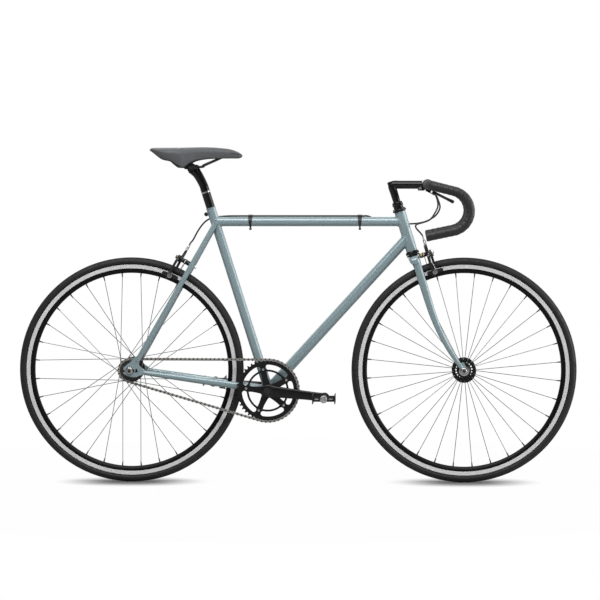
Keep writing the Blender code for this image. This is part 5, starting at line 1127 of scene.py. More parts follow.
def build_chain():
    inner, outer, rollers = Shape(), Shape(), Shape()
    outline = link_outline()
    pin = both_ways([(0.0013, -0.0046), (0.0022, -0.0043)])
    roller = both_ways([(0.0036, -0.0018), (0.0038, -0.0016)])
    for i, (start, after) in enumerate(zip(PINS, PINS[1:] + PINS[:1])):
        along = (after - start).normalized()
        place = place_of(start - LEFT * CHAIN_LINE, along, along.cross(LEFT) * -1, LEFT)
        plates, inside, outside = ((inner, 0.002, 0.0029), (outer, 0.0031, 0.004))[i % 2]
        plates.plate(outline, -outside, -inside, place)
        plates.plate(outline, inside, outside, place)
        rollers.turned(pin, 12, place)
        rollers.turned(roller, 14, place)
    piece("chain_outer_plates", outer, "frame", "chain_plate", "chain")
    piece("chain_inner_plates", inner, "frame", "chain_plate")
    piece("chain_rollers", rollers, "frame", "chain_dark")


def toothed(centre, teeth, tip):
    """Round seats for the rollers, with a pointed tooth between each two."""
    radius, first, seat = pitch_radius(teeth), first_roller(centre, teeth), 0.004
    outline = []
    for i in range(teeth):
        middle = first + math.tau * i / teeth
        spot = Vector(polar(1, middle)) * radius
        for k in range(7):
            point = spot + Vector(polar(1, middle + math.pi - (k - 3) * math.radians(24))) * seat
            outline.append((point.x, point.y))
        for share, rise in ((0.36, tip * 0.55), (0.46, tip), (0.54, tip), (0.64, tip * 0.55)):
            outline.append(polar(radius + rise, middle + math.tau / teeth * share))
    return outline


def build_sprocket():
    place = drive_side(REAR_AXLE)
    bore, low, high = 0.0174, 0.0456, 0.049
    shape = Shape().plate(
        toothed(REAR_AXLE, SPROCKET_TEETH, 0.0026), 0.0426, 0.0454, place, [circle(bore, 48)]
    )
    fine("sprocket", shape, "rear_wheel", "chain_dark", origin=REAR_AXLE, bevel=0.0002)
    notched = [(0.0212 if (i // 3) % 4 else 0.0192) for i in range(96)]
    outer, inner = (
        [[at(place, *polar(r, a), h) for r, a in zip(radii, even_turn(96))] for h in heights]
        for radii, heights in ((notched, (low, high)), ([bore] * 96, (high, low)))
    )
    lockring = Shape().loft(outer + inner, closed=True)
    piece("sprocket_lockring", lockring, "rear_wheel", "steel_dark", origin=REAR_AXLE)


BOLT_ANGLES = [math.radians(30 + 72 * i) for i in range(5)]


def ring_slot(middle):
    """A long curved window with round ends."""
    inner, outer, half = 0.0632, 0.0778, math.radians(23.5)
    width, centre = (outer - inner) / 2, (outer + inner) / 2
    start, end = middle - half, middle + half
    slot = arc(outer, start, end, 14)
    slot += arc(width, end, end + math.pi, 8, polar(centre, end))[1:-1]
    slot += arc(inner, end, start, 12)
    slot += arc(width, start + math.pi, start + math.tau, 8, polar(centre, start))[1:-1]
    return slot


def build_chainring():
    place = drive_side(BRACKET)
    holes = [ring_slot(a + math.radians(36)) for a in BOLT_ANGLES]
    holes.append(circle(0.0572, 120))
    shape = Shape().plate(toothed(BRACKET, RING_TEETH, 0.0027), 0.0425, 0.0455, place, holes)
    fine("chainring", shape, "crankset", "satin_black", origin=BRACKET, bevel=0.0003)
    nut = ((0.002, 0.04), (0.0022, 0.0414), (0.005, 0.0414), (0.0055, 0.041), (0.0055, 0.04))
    head = (
        (0.0034, 0.0508), (0.004, 0.0512), (0.004, 0.0524), (0.0036, 0.053), (0.0022, 0.053),
        (0.002, 0.052), (0.0016, 0.0516),
    )
    bolts = Shape()
    for a in BOLT_ANGLES:
        spot = place @ Matrix.Translation((*polar(0.065, a), 0))
        bolts.turned(nut, 24, spot)
        bolts.turned(head, 24, spot)
    piece("chainring_bolts", bolts, "crankset", "steel_bright", origin=BRACKET)


def rounded_ring(centre, wide_axis, tall_axis, wide, tall, power=3.2, count=40):
    """A rectangle with soft corners."""
    ring = []
    for i in range(count):
        a = math.tau * i / count
        c, s = math.cos(a), math.sin(a)
        x = math.copysign(abs(c) ** (2 / power), c) * wide
        y = math.copysign(abs(s) ** (2 / power), s) * tall
        ring.append(centre + wide_axis * x + tall_axis * y)
    return ring


def crank_eye(side):
    angle = math.radians(-6.2) if side < 0 else math.pi - math.radians(6.2)
    return BRACKET + ray(angle, 0.1725) + LEFT * side * 0.067


CRANK_SECTIONS = (
    # share of the length, half width, half thickness
    (-0.02, 0.0172, 0.0075),
    (0.08, 0.0176, 0.0076),
    (0.2, 0.0168, 0.007),
    (0.4, 0.0152, 0.0065),
    (0.65, 0.0135, 0.0061),
    (0.85, 0.0128, 0.006),
    (0.97, 0.0132, 0.0062),
    (1.0, 0.0133, 0.0062),
)


def crank_arm(side):
    """The arm, the place of its boss, and 1 where the place's z points outwards or -1 where it doesn't."""
    hub, eye = BRACKET + LEFT * side * 0.057, crank_eye(side)
    along = (eye - hub).normalized()
    out = LEFT * side
    wide = along.cross(out).normalized()
    rings = [rounded_ring(hub.lerp(eye, share), wide, out, *halves) for share, *halves in CRANK_SECTIONS]
    shape = Shape().loft(rings)
    place = place_of(hub, along, wide, along.cross(wide))
    flip = 1 if place.col[2].xyz.dot(out) > 0 else -1
    boss = (
        (0.015, -0.012), (0.0185, -0.011), (0.019, -0.0085), (0.019, 0.004), (0.0182, 0.0072),
        (0.015, 0.0088), (0.012, 0.009), (0.0112, 0.0082), (0.0112, 0.007),
    )
    shape.turned([(r, h * flip) for r, h in boss], 56, place)
    eye_profile = both_ways([(0.0078, -0.0066), (0.0132, -0.0066), (0.0145, -0.0055), (0.0148, -0.0035)])
    shape.turned(eye_profile, 48, place_of(eye, along, wide, along.cross(wide)))
    return shape, place, flip


def spider_outline():
    half = (
        (-36, 0.0215), (-27, 0.024), (-17, 0.033), (-10.5, 0.046), (-9.0, 0.058), (-6.8, 0.069),
        (-3.0, 0.0722),
    )
    arm = [*half, *((-turn, radius) for turn, radius in half[:0:-1])]
    outline = [polar(radius, middle + math.radians(turn)) for middle in BOLT_ANGLES for turn, radius in arm]
    return filleted(outline, 0.004, 2)


def build_crank(name, side):
    shape, place, flip = crank_arm(side)
    nodes = [f"crank_{name}"] + (["crank_spindle"] if side < 0 else [])
    piece(f"crank_arm_{name}", shape, "crankset", "satin_black", nodes, origin=BRACKET, sharp=45)
    profile = ((0.003, 0.0074), (0.0034, 0.0082), (0.0104, 0.0084), (0.011, 0.0078), (0.011, 0.006))
    cap = Shape().turned([(r, h * flip) for r, h in profile], 40, place)
    hexagon(cap, 0.0034, *sorted((flip * 0.0068, flip * 0.0078)), place, 0.0002)
    piece(f"crank_cap_{name}", cap, "crankset", "plastic_black", origin=BRACKET)
    eye, out = crank_eye(side), LEFT * side
    spindle = Shape()
    spindle.sweep([eye - out * 0.0069, eye + out * 0.0075], 0.007, 6)
    spindle.sweep([eye + out * 0.007, eye + out * 0.0105], 0.0078, 28)
    spindle.sweep([eye + out * 0.01, eye + out * 0.084], [0.0054, 0.0043], 20)
    piece(f"pedal_spindle_{name}", spindle, "crankset", "steel_dark", origin=eye)


def build_crankset():
    for name, side in SIDES:
        build_crank(name, side)
    spider = Shape().plate(spider_outline(), 0.0458, 0.0508, drive_side(BRACKET), [circle(0.009, 24)])
    piece("crank_spider", spider, "crankset", "satin_black", origin=BRACKET, bevel=0.0012, sharp=50)
    shaft = Shape().turned(both_ways([(0.0068, -0.056), (0.0085, -0.04)]), 32, across(BRACKET))
    piece("bracket_spindle", shaft, "crankset", "steel_dark", origin=BRACKET)


def cage_plate_outline(low, high, half):
    """A serrated plate seen from the front, with a row of teeth above and below."""
    teeth = 9
    step = (high - low) / teeth
    upper = []
    for i in range(teeth):
        x = low + i * step
        upper += [
            (x, half - 0.0024), (x + step * 0.28, half), (x + step * 0.5, half),
            (x + step * 0.78, half - 0.0024),
        ]
    return upper + [(x, -y) for x, y in upper[::-1]]


PEDAL_START = 0.0065 + 0.0015
PEDAL_END = PEDAL_START + 0.088
CAGE_LENGTH, CAGE_HEIGHT = 0.034, 0.014


def rectangle(low_x, high_x, half):
    return (low_x, -half), (high_x, -half), (high_x, half), (low_x, half)


def pedal_barrel(along):
    start, end = PEDAL_START, PEDAL_END
    profile = (
        (0.0062, start), (0.0092, start), (0.0098, start + 0.001), (0.0098, start + 0.008),
        (0.0082, start + 0.014), (0.0078, start + 0.05), (0.0088, end - 0.022), (0.0092, end - 0.018),
        (0.0092, end - 0.005), (0.0062, end - 0.005),
    )
    return Shape().turned(profile, 40, along, closed=True)


def pedal_cage(place):
    """Two serrated plates with a window each, on two cross bars."""
    start, end = PEDAL_START, PEDAL_END
    ahead, out, up = (place.col[i].xyz for i in range(3))
    cage = Shape()
    serrated = place_of(place.translation, out, up, ahead)
    window = filleted(rectangle(start + 0.016, end - 0.018, 0.005), 0.004)
    for sign in (-1, 1):
        low, high = sorted((sign * CAGE_LENGTH, sign * (CAGE_LENGTH - 0.0022)))
        cage.plate(cage_plate_outline(start + 0.004, end - 0.004, CAGE_HEIGHT), low, high, serrated, [window])
    bar = filleted(rectangle(-CAGE_LENGTH + 0.001, CAGE_LENGTH - 0.001, 0.0068), 0.003)
    for along in (start + 0.01, end - 0.014):
        cage.plate(bar, -0.0017, 0.0017, place_of(at(place, 0, along, 0), ahead, up, out))
    return cage


def pedal_dust_cap(along, place):
    end = PEDAL_END
    profile = (
        (0.0038, end - 0.0045), (0.0044, end - 0.0018), (0.0092, end - 0.002), (0.0106, end - 0.0034),
        (0.011, end - 0.006), (0.011, end - 0.011),
    )
    cap = Shape().turned(profile, 40, along)
    for middle in (-0.021, 0.021):
        cap.box((middle - 0.006, end - 0.0125, -0.0026), (middle + 0.006, end - 0.0112, 0.001), place)
    return cap


def build_pedal(name, side):
    eye = crank_eye(side)
    body = f"{name}_pedal"
    place = place_of(eye, FORWARD, LEFT * side, UP * side)
    along = mirrored(across(eye), side)
    piece(f"pedal_barrel_{name}", pedal_barrel(along), body, "cast_black", f"pedal_{name}", origin=eye)
    piece(f"pedal_cage_{name}", pedal_cage(place), body, "cast_black", origin=eye, bevel=0.0004)
    piece(
        f"pedal_dust_cap_{name}", pedal_dust_cap(along, place), body, "steel_bright", origin=eye, bevel=0.0003
    )


# Fork, stem and bar

CROWN_SECTIONS = (
    # aside, depth, bottom, top
    (0.0445, 0.007, -0.0404, -0.0284),
    (0.0432, 0.0098, -0.0404, -0.0249),
    (0.04, 0.012, -0.0404, -0.0209),
    (0.034, 0.0136, -0.0404, -0.0174),
    (0.024, 0.0148, -0.0394, -0.0154),
    (0.0205, 0.0156, -0.0374, -0.0154),
    (0.0, 0.016, -0.0374, -0.0154),
)
BLADE_TOP, BLADE_FOOT = 0.033, 0.0528  # from the fork's middle plane
BLADE_START, BLADE_AHEAD, AXLE_DOWN = 0.04, 0.0035, 0.3886


def build_crown():
    """A crown with a socket for each blade, and the steerer that stands in it."""
    sections = [(-aside, *rest) for aside, *rest in CROWN_SECTIONS] + list(CROWN_SECTIONS[-2::-1])
    rings = []
    for aside, depth, bottom, top in sections:
        centre = at(STEERING, 0, aside, (bottom + top) / 2)
        rings.append(rounded_ring(centre, STEER_FORWARD, STEER_UP, depth, (top - bottom) / 2, 3.4, 36))
    shape = Shape().loft(rings)
    radii = [(0.0128, 0.0098), (0.0136, 0.0105), (0.0133, 0.0101), (0.0126, 0.0095), (0.0118, 0.0088)]
    for _, side in SIDES:
        socket = [
            at(STEERING, 0.003, side * 0.0332, -down)
            for down in (0.0265, 0.033, 0.04, 0.046, 0.052)
        ]
        shape.sweep(socket, radii, 36)
    shape.turned(
        ((0.0127, -0.03), (0.0127, 0.15), (0.0114, 0.15), (0.0114, -0.028)), 40, STEERING, closed=True
    )
    piece("fork_crown_fine", shape, "fork", "frame_paint_fine", "fork_steerer_and_crown")
    race = (
        (0.0128, -0.0156), (0.0192, -0.0156), (0.02, -0.0146), (0.02, -0.0118), (0.0192, -0.0108),
        (0.0128, -0.0104),
    )
    piece("fork_crown_race", Shape().turned(race, 64, STEERING, closed=True), "fork", "gloss_black")


def blade_line():
    """(down, forward) points of a blade, in the steering axis's own directions: straight, then an arc."""
    rake, ahead, bend = 0.0448, BLADE_AHEAD, 0.6
    sweep = math.acos(1 - (rake - ahead) / bend)
    bend_start = AXLE_DOWN - bend * math.sin(sweep)
    line = [(BLADE_START + (bend_start - BLADE_START) * i / 4, ahead) for i in range(5)]
    for i in range(1, 17):
        angle = sweep * i / 16 * 0.95
        line.append((bend_start + bend * math.sin(angle), ahead + bend * (1 - math.cos(angle))))
    return line


def build_blade(name, side):
    points, radii = [], []
    for down, forward in blade_line():
        share = (down - BLADE_START) / (AXLE_DOWN - BLADE_START)
        aside = BLADE_TOP + (BLADE_FOOT - BLADE_TOP) * share
        points.append(at(STEERING, forward, side * aside, -down))
        taper = max(0.0, (down - 0.12) / (AXLE_DOWN - 0.12))
        radii.append((0.012 + (0.0062 - 0.012) * taper, 0.009 + (0.0062 - 0.009) * taper))
    shape = Shape().sweep(points, radii, 36, round_ends=0.005)
    fine(f"fork_blade_{name}", shape, "fork", "frame_paint_fine")


def build_fork_end(name, side):
    """A flat plate that widens round the axle, with a slot that opens downwards."""
    half, r, low, middle = 0.0048, 0.0104, -0.0104, -side * BLADE_FOOT
    behind = [
        (-0.0062, 0.026), (-r * 0.92, 0.006), (-r, -0.002), (-r * 0.85, -0.0072), (-half - 0.001, low),
        (-half, low),
    ]
    slot = [polar(half, math.pi - math.pi * i / 12) for i in range(13)]
    before = [
        (half, low), (half + 0.001, low), (r * 0.85, -0.0072), (r, -0.002), (r * 0.85, 0.007), (0.0062, 0.026)
    ]
    place = place_of(FRONT_AXLE, STEER_FORWARD, STEER_UP, -LEFT)
    end = Shape().plate(behind + slot + before, middle - 0.0025, middle + 0.0025, place)
    piece(f"fork_end_{name}", end, "fork", "frame_paint_fine", bevel=0.0007)


def build_fork():
    build_crown()
    for name, side in SIDES:
        build_blade(name, side)
        build_fork_end(name, side)


STEM_CORNER = 0.2088
BAR_CENTRE = HEAD_BASE + STEER_UP * STEM_CORNER + FORWARD * 0.1084


def build_stem():
    """A quill that bends forward into the clamp, with a round top over its expander bolt."""
    corner = HEAD_BASE + STEER_UP * STEM_CORNER
    quill = [at(STEERING, 0, 0, z) for z in (0.054, 0.15, 0.19)]
    bend = [quill[-1], corner - STEER_UP * 0.006, corner + FORWARD * 0.006, corner + FORWARD * 0.024]
    path = quill + smooth_path(bend, 5)[1:] + [BAR_CENTRE - FORWARD * 0.012]
    radii = []
    for point in path:
        share = min(1.0, (point - quill[1]).length / 0.06) if point.z > quill[1].z else 0.0
        radii.append(0.0111 + 0.0014 * share)
    shape = Shape().sweep(path, radii, 40)
    top = STEERING @ Matrix.Translation((0, 0, STEM_CORNER + 0.0092))
    dish = (
        (0.0112, -0.012), (0.0114, -0.002), (0.0106, 0.0004), (0.0078, 0.0012), (0.0066, 0.001),
        (0.0062, -0.002), (0.002, -0.0022),
    )
    shape.turned(dish, 36, top)
    clamp = both_ways([(0.0129, -0.02), (0.0148, -0.02), (0.0156, -0.019)])
    shape.turned(clamp, 56, across(BAR_CENTRE), closed=True)
    fine("stem", shape, "fork", "gloss_black")
    build_stem_clamp()
    expander = Shape().sweep([at(top, 0, 0, -0.003), at(top, 0, 0, 0.0004)], 0.0048, 6)
    piece("stem_expander_bolt", expander, "fork", "steel_dark")


def build_stem_clamp():
    """Two ears behind the bar, drawn together by a bolt."""
    outline = filleted(
        ((-0.03, -0.0178), (-0.008, -0.0178), (-0.008, -0.006), (-0.028, -0.006)), 0.004
    )
    ears = Shape()
    for low, high in ((-0.014, -0.0012), (0.0012, 0.014)):
        ears.plate(outline, low, high, drive_side(BAR_CENTRE))
    piece("stem_clamp_ears", ears, "fork", "gloss_black", bevel=0.001)
    spot = across(BAR_CENTRE + Vector((-0.0225, 0, -0.0115)))
    head = (
        (0.0022, -0.0165), (0.0024, -0.0188), (0.0044, -0.019), (0.0048, -0.0186), (0.0048, -0.0142),
        (0.0024, -0.0142),
    )
    bolt = Shape().turned(((0.003, -0.016), (0.003, 0.018)), 16, spot)
    bolt.turned(head, 28, spot)
    hexagon(bolt, 0.005, 0.0142, 0.018, spot)
    piece("stem_clamp_bolt", bolt, "fork", "steel_bright")


def bar_path(side, start, steps=14):
    """Half of the bar's line, from start along the tops to the end of the drop."""
    half_width, corner, radius, hook_x, hook_z = 0.205, 0.045, 0.06, 0.0646, -0.078
    dip = math.atan2(hook_z, hook_x) + math.asin(radius / math.hypot(hook_x, hook_z))
    ramp = ray(dip, 1)
    points = [Vector((0, start, 0)), Vector((0, half_width - corner, 0))]
    for i in range(1, steps + 1):
        angle = math.pi / 2 * i / steps
        aside = half_width - corner + corner * math.sin(angle)
        points.append(ramp * corner * (1 - math.cos(angle)) * 0.75 + Vector((0, aside, 0)))
    hook = Vector((hook_x, half_width, hook_z))
    tail_rise = math.radians(11.8)
    top, bottom = dip + math.pi / 2, tail_rise - math.pi / 2
    points += [hook + ray(top + (bottom - top) * i / (2 * steps), radius) for i in range(2 * steps + 1)]
    points.append(points[-1] - ray(tail_rise, 0.0835))
    return [BAR_CENTRE + Vector((p.x, p.y * side, p.z)) for p in points]


TAPE_START, TAPE_STEP = 0.078, 0.0014
CLOSE_WRAPS = 0.155  # the length of tape whose turns are closer
FINE_GRAIN = 0.00012


def wrap_radius(side):
    """The tape's radius by distance and angle: turns with a ridge each, over a bar that it thickens."""

    def radius(distance, angle):
        close = distance < CLOSE_WRAPS
        turns = distance / (0.0085 if close else 0.0165)
        share = (turns + angle / math.tau * side) % 1
        base = 0.0128 + 0.0009 * min(1.0, max(0.0, (distance - 0.04) / 0.08))
        ridge = (0.0009 if close else 0.0007) * share
        return base + ridge + FINE_GRAIN * math.sin(distance * 410 + angle * 3)

    return radius


def build_tape(name, side):
    path = resampled(bar_path(side, TAPE_START), TAPE_STEP)
    shape = Shape().sweep(path, wrap_radius(side), 40, UP)
    fine(f"bar_tape_{name}", shape, "fork", "bar_tape_fine", sharp=60)
    piece(f"bar_tape_finish_{name}", Shape().sweep(path[:14], 0.01375, 36, UP), "fork", "plastic_black")
    tail, along = path[-1], (path[-1] - path[-4]).normalized()
    plug = Shape().sweep([tail - along * 0.01, tail - along * 0.0002], 0.0126, 32, UP)
    plug.sweep([tail - along * 0.0002, tail + along * 0.0004], 0.014, 32, UP)
    piece(f"bar_end_plug_{name}", plug, "fork", "plastic_black", bevel=0.0003)


def build_bar():
    left, right = bar_path(1, 0.0), bar_path(-1, 0.0)
    path = resampled(right[:0:-1] + left[1:], 0.004)
    middle = len(path) // 2
    radii = [
        0.0127 if abs((p - BAR_CENTRE).y) < 0.036 and abs(i - middle) < 12 else 0.0119
        for i, p in enumerate(path)
    ]
    fine("handlebar", Shape().sweep(path, radii, 28, UP), "fork", "satin_black")
    for name, side in SIDES:
        build_tape(name, side)


# Brakes


def lever_place(side):
    """Local x ahead and down along the lever's plane, y towards the bar's end and z out of the plane."""
    tilt = math.radians(26.6)
    return place_of(BAR_CENTRE, ray(-tilt, 1), LEFT * side, ray(math.pi / 2 - tilt, 1))


LEVER_PIVOT = (0.028, 0.053, -0.012)
BRACKET_NEAR, BRACKET_FAR = 0.046, 0.06  # along the bar
KNUCKLE_HALF = 0.00425 + 0.0004


def lever_bracket(place):
    """A ring on the bar with two cheeks for the lever."""
    x, _, z = LEVER_PIVOT
    near, far, half = BRACKET_NEAR, BRACKET_FAR, KNUCKLE_HALF
    ahead, out, up = (place.col[i].xyz for i in range(3))
    profile = (
        (0.0121, near), (0.0158, near), (0.0165, near + 0.0008), (0.0165, far - 0.0008), (0.0158, far),
        (0.0121, far),
    )
    bracket = Shape().turned(profile, 48, place_of(place.translation, ahead, -up, out), closed=True)
    corners = (
        (0.01, near - 0.0003), (x + 0.006, near + 0.001), (x + 0.0062, far - 0.001), (0.01, far + 0.0003)
    )
    cheek = filleted(corners, 0.0035)
    bracket.plate(cheek, z - half - 0.003, z - half, place)
    bracket.plate(cheek, z + half, z + half + 0.003, place)
    web = filleted(((0.002, near), (x - 0.01, near), (x - 0.01, far), (0.002, far)), 0.002)
    return bracket.plate(web, z - half - 0.003, -0.006, place)


def lever_pin(place):
    """The pivot pin, and the screw that closes the bracket's ring behind the bar."""
    x, y, z = LEVER_PIVOT
    ends = [at(place, x, y, z - KNUCKLE_HALF - 0.0036), at(place, x, y, z + KNUCKLE_HALF + 0.0036)]
    pin = Shape().sweep(ends, 0.0027, 20, UP)
    ahead, out, up = (place.col[i].xyz for i in range(3))
    screw = place_of(at(place, -0.0168, (BRACKET_NEAR + BRACKET_FAR) / 2, 0), out, up, -ahead)
    head = ((0.004, -0.003), (0.0042, 0.0006), (0.0036, 0.0016), (0.002, 0.0016), (0.0018, 0.0004))
    return pin.turned(head, 20, screw)


def lever_blade(place):
    """A curved blade that grows a little towards its end, round a knuckle."""
    z = LEVER_PIVOT[2]
    line = ((0.028, 0.053), (0.042, 0.066), (0.06, 0.09), (0.078, 0.115), (0.089, 0.128))
    line = smooth_path([(x, y, 0) for x, y in line], 6)
    last = len(line) - 1
    points = [at(place, point.x, point.y, z) for point in line]
    rings = []
    for i, point in enumerate(points):
        share = i / last
        ahead = (line[min(i + 1, last)] - line[max(i - 1, 0)]).normalized()
        aside = place.to_3x3() @ Vector((-ahead.y, ahead.x, 0))
        swell = math.sin(math.pi * min(1.0, share * 1.15)) * (1 if share > 0.3 else 0.6)
        tall = 0.0042 + 0.001 * max(0.0, share - 0.6) / 0.4
        rings.append(rounded_ring(point, aside, place.col[2].xyz, 0.0048 + 0.0012 * swell, tall, 2.8, 24))
    rings += dome(rings[-1], points[-1], (points[-1] - points[-2]).normalized(), 0.004)
    knuckle = both_ways([(0.003, -0.0042), (0.0056, -0.0042), (0.006, -0.0036)])
    return Shape().loft(rings).turned(knuckle, 32, place @ Matrix.Translation(LEVER_PIVOT))


def build_levers():
    for name, side in SIDES:
        place = lever_place(side)
        fine(f"lever_bracket_{name}", lever_bracket(place), "fork", "satin_black", bevel=0.0008, sharp=50)
        piece(f"lever_pin_{name}", lever_pin(place), "fork", "steel_bright", bevel=0.0003)
        fine(f"brake_lever_{name}", lever_blade(place), f"lever_{name}", "gloss_black", sharp=50)


SHOE_DOWN = 0.0582  # from the brake's bolt to the middle of its shoes
ARM_FOOT = -SHOE_DOWN - 0.007
SHOE_SLOT = 0.0248  # from the bolt's line to the slots, aside
HORN_ASIDE, HORN_BEHIND = 0.03, 0.0039
CABLE_ANCHOR = (-0.0345, -0.007)
WHICH = {-1: "inner", 1: "outer"}
INNER_ARM = (
    (-0.0362, 0.025), (-0.033, 0.0272), (-0.027, 0.0266), (-0.017, 0.0188), (-0.005, 0.0104),
    (0.004, 0.0092), (0.0083, 0.003), (0.0077, -0.005), (0.0, -0.0094), (-0.008, -0.0092),
    (-0.015, -0.0126), (-0.0199, -0.021), (-0.0206, -0.036), (-0.0208, ARM_FOOT), (-0.0282, ARM_FOOT),
    (-0.029, -0.04), (-0.0288, -0.016), (-0.03, -0.002), (-0.0348, 0.008), (-0.0378, 0.016),
)
OUTER_ARM = (
    (-0.0385, 0.0), (-0.0335, 0.0028), (-0.023, 0.0056), (-0.009, 0.0087), (0.0, 0.0095), (0.01, 0.0086),
    (0.02, 0.004), (0.0262, -0.003), (0.0289, -0.013), (0.0291, -0.03), (0.0282, ARM_FOOT),
    (0.0208, ARM_FOOT), (0.0206, -0.036), (0.0199, -0.022), (0.014, -0.0112), (0.006, -0.0088),
    (0.0, -0.0094), (-0.009, -0.0078), (-0.02, -0.0098), (-0.03, -0.013), (-0.0375, -0.012),
    (-0.0395, -0.006),
)


class Caliper:
    """A side-pull brake: an inner arm with the adjuster, an outer arm with the cable clamp, and shoes.

    Its place has local x along the bolt. The brake begins at start, and its shoes are centred at out.
    """

    def __init__(self, name, place, out, start, wheel, carrier):
        self.name, self.place, self.out, self.start = name, place, out, start
        self.wheel, self.carrier, self.rear = wheel, carrier, name == "rear"
        self.ahead, self.across, self.up = (place.col[i].xyz for i in range(3))
        self.facing = place_of(place.translation, self.across, self.up, self.ahead)
        self.bodies = {side: f"{name}_arm_{which}" for side, which in WHICH.items()}

    def build(self):
        self.arms()
        horn = place_of(
            at(self.facing, -HORN_ASIDE, 0, self.out - HORN_BEHIND), self.across, -self.ahead, self.up
        )
        self.adjuster(horn)
        self.cable(horn)
        self.cable_clamp()
        self.bolt()
        self.spring()
        self.shoes()

    def arms(self):
        for side, outline, low in ((-1, INNER_ARM, self.out - 0.0075), (1, OUTER_ARM, self.out + 0.0003)):
            curve = smooth_pairs([*outline, outline[0]], 4)[:-1]
            left, right = side * SHOE_SLOT - 0.0027, side * SHOE_SLOT + 0.0027
            top, foot = ARM_FOOT + 0.0185, ARM_FOOT + 0.002
            slot = filleted([(left, foot), (right, foot), (right, top), (left, top)], 0.0026)
            thicker = 0 if self.rear or side > 0 else 0.003
            shape = Shape().plate(curve, low - thicker, low + 0.0072, self.facing, [slot])
            node = f"{self.name}_brake_arm_{WHICH[side]}"
            fine(node, shape, self.bodies[side], "cast_black", bevel=0.0013, sharp=50)

    def adjuster(self, horn):
        """A threaded barrel on the inner arm's horn, with two rings under its knurled end."""
        barrel = Shape().turned(((0.003, 0.008), (0.003, 0.033), (0.0026, 0.0334)), 20, horn)
        barrel.mark = 1
        knurled = []
        for i in range(9):
            h = 0.029 + i * 0.0014
            knurled += [(0.004, h), (0.0045, h + 0.0007)]
        barrel.turned(
            [(0.0026, 0.0282), *knurled, (0.004, 0.0432), (0.0034, 0.0448), (0.0026, 0.045)], 24, horn
        )
        barrel.turned(((0.0032, 0.0225), (0.0046, 0.0228), (0.0046, 0.0252), (0.0032, 0.0255)), 18, horn)
        barrel.turned(((0.0032, 0.0068), (0.0045, 0.007), (0.0045, 0.0102), (0.0032, 0.0104)), 18, horn)
        piece(f"{self.name}_brake_adjuster", barrel, self.bodies[-1], ["steel_dark", "steel_bright"])

    def cable(self, horn):
        """The bare cable runs down from the adjuster to the clamp on the outer arm, and ends in a cap."""
        x, y = CABLE_ANCHOR
        points = [
            at(horn, 0, 0, 0.044), at(horn, 0, 0, 0.008),
            at(self.facing, x + 0.0006, y + 0.003, self.out - 0.002),
            at(self.facing, x, y - 0.014, self.out - 0.0022),
        ]
        cable = Shape().sweep(resampled(smooth_path(points, 6), 0.002), 0.0008, 10, UP)
        tip = (points[-1] - points[-2]).normalized()
        cable.mark = 1
        cable.sweep([points[-1] - tip * 0.002, points[-1] + tip * 0.008], 0.0013, 12, UP)
        piece(f"{self.name}_brake_cable_end", cable, self.bodies[1], ["cable_strand", "steel_bright"])

    def cable_clamp(self):
        spot, out = self.facing @ Matrix.Translation((*CABLE_ANCHOR, 0)), self.out
        clamp = Shape().turned(((0.0025, out - 0.009), (0.0025, out + 0.0105)), 16, spot)
        hexagon(clamp, 0.0048, out + 0.0076, out + 0.011, spot)
        clamp.turned(washer(0.0026, 0.0055, out - 0.0032, out - 0.0012), 28, spot)
        hexagon(clamp, 0.0046, out - 0.0078, out - 0.0036, spot)
        piece(f"{self.name}_brake_cable_clamp", clamp, self.bodies[1], "steel_dark")

    def spacer(self):
        """The height of the lower and of the upper end of the sleeve on the bolt."""
        return self.start + 0.0022, self.out - 0.0079

    def bolt(self):
        """The pivot bolt with its washer, spacer and nuts. Marks: 0 steel, 1 black, 2 brass."""
        facing, start, out = self.facing, self.start, self.out
        back = -start - (0.007 if self.rear else 0.0008)
        bolt = Shape().turned(((0.003, back), (0.003, out + 0.0138)), 20, facing)
        hexagon(bolt, 0.0048, back + 0.0008, back + 0.0066, facing)
        bolt.turned(washer(0.0032, 0.0058, start + 0.0004, start + 0.0018), 28, facing)
        bolt.mark = 1
        low, high = self.spacer()
        sleeve = (
            (0.0032, low), (0.0072, low), (0.0074, low + 0.001), (0.007, high - 0.006),
            (0.0058, high - 0.001), (0.0058, high), (0.0032, high),
        )
        bolt.turned(sleeve, 32, facing)
        if not self.rear:
            bolt.mark = 2
            hexagon(bolt, 0.0086, low + 0.002, low + 0.0085, facing)
            hexagon(bolt, 0.008, low + 0.0115, low + 0.0165, facing)
        bolt.mark = 2 if self.rear else 0
        hexagon(bolt, 0.006 if self.rear else 0.0072, out + 0.0079, out + 0.0112, facing)
        cap = (
            (0.0032, out + 0.0112), (0.005, out + 0.0114), (0.0054, out + 0.0125), (0.004, out + 0.0136),
            (0.003, out + 0.0138),
        )
        bolt.turned(cap, 28, facing)
        fine(f"{self.name}_brake_bolt", bolt, self.carrier, ["steel_bright", "cast_black", "brass"])

    def wire(self, shape, line, steps, spacing=None):
        path = smooth_path([at(self.facing, *point) for point in line], steps)
        return shape.sweep(resampled(path, spacing) if spacing else path, 0.001, 10, UP, round_ends=0.0008)

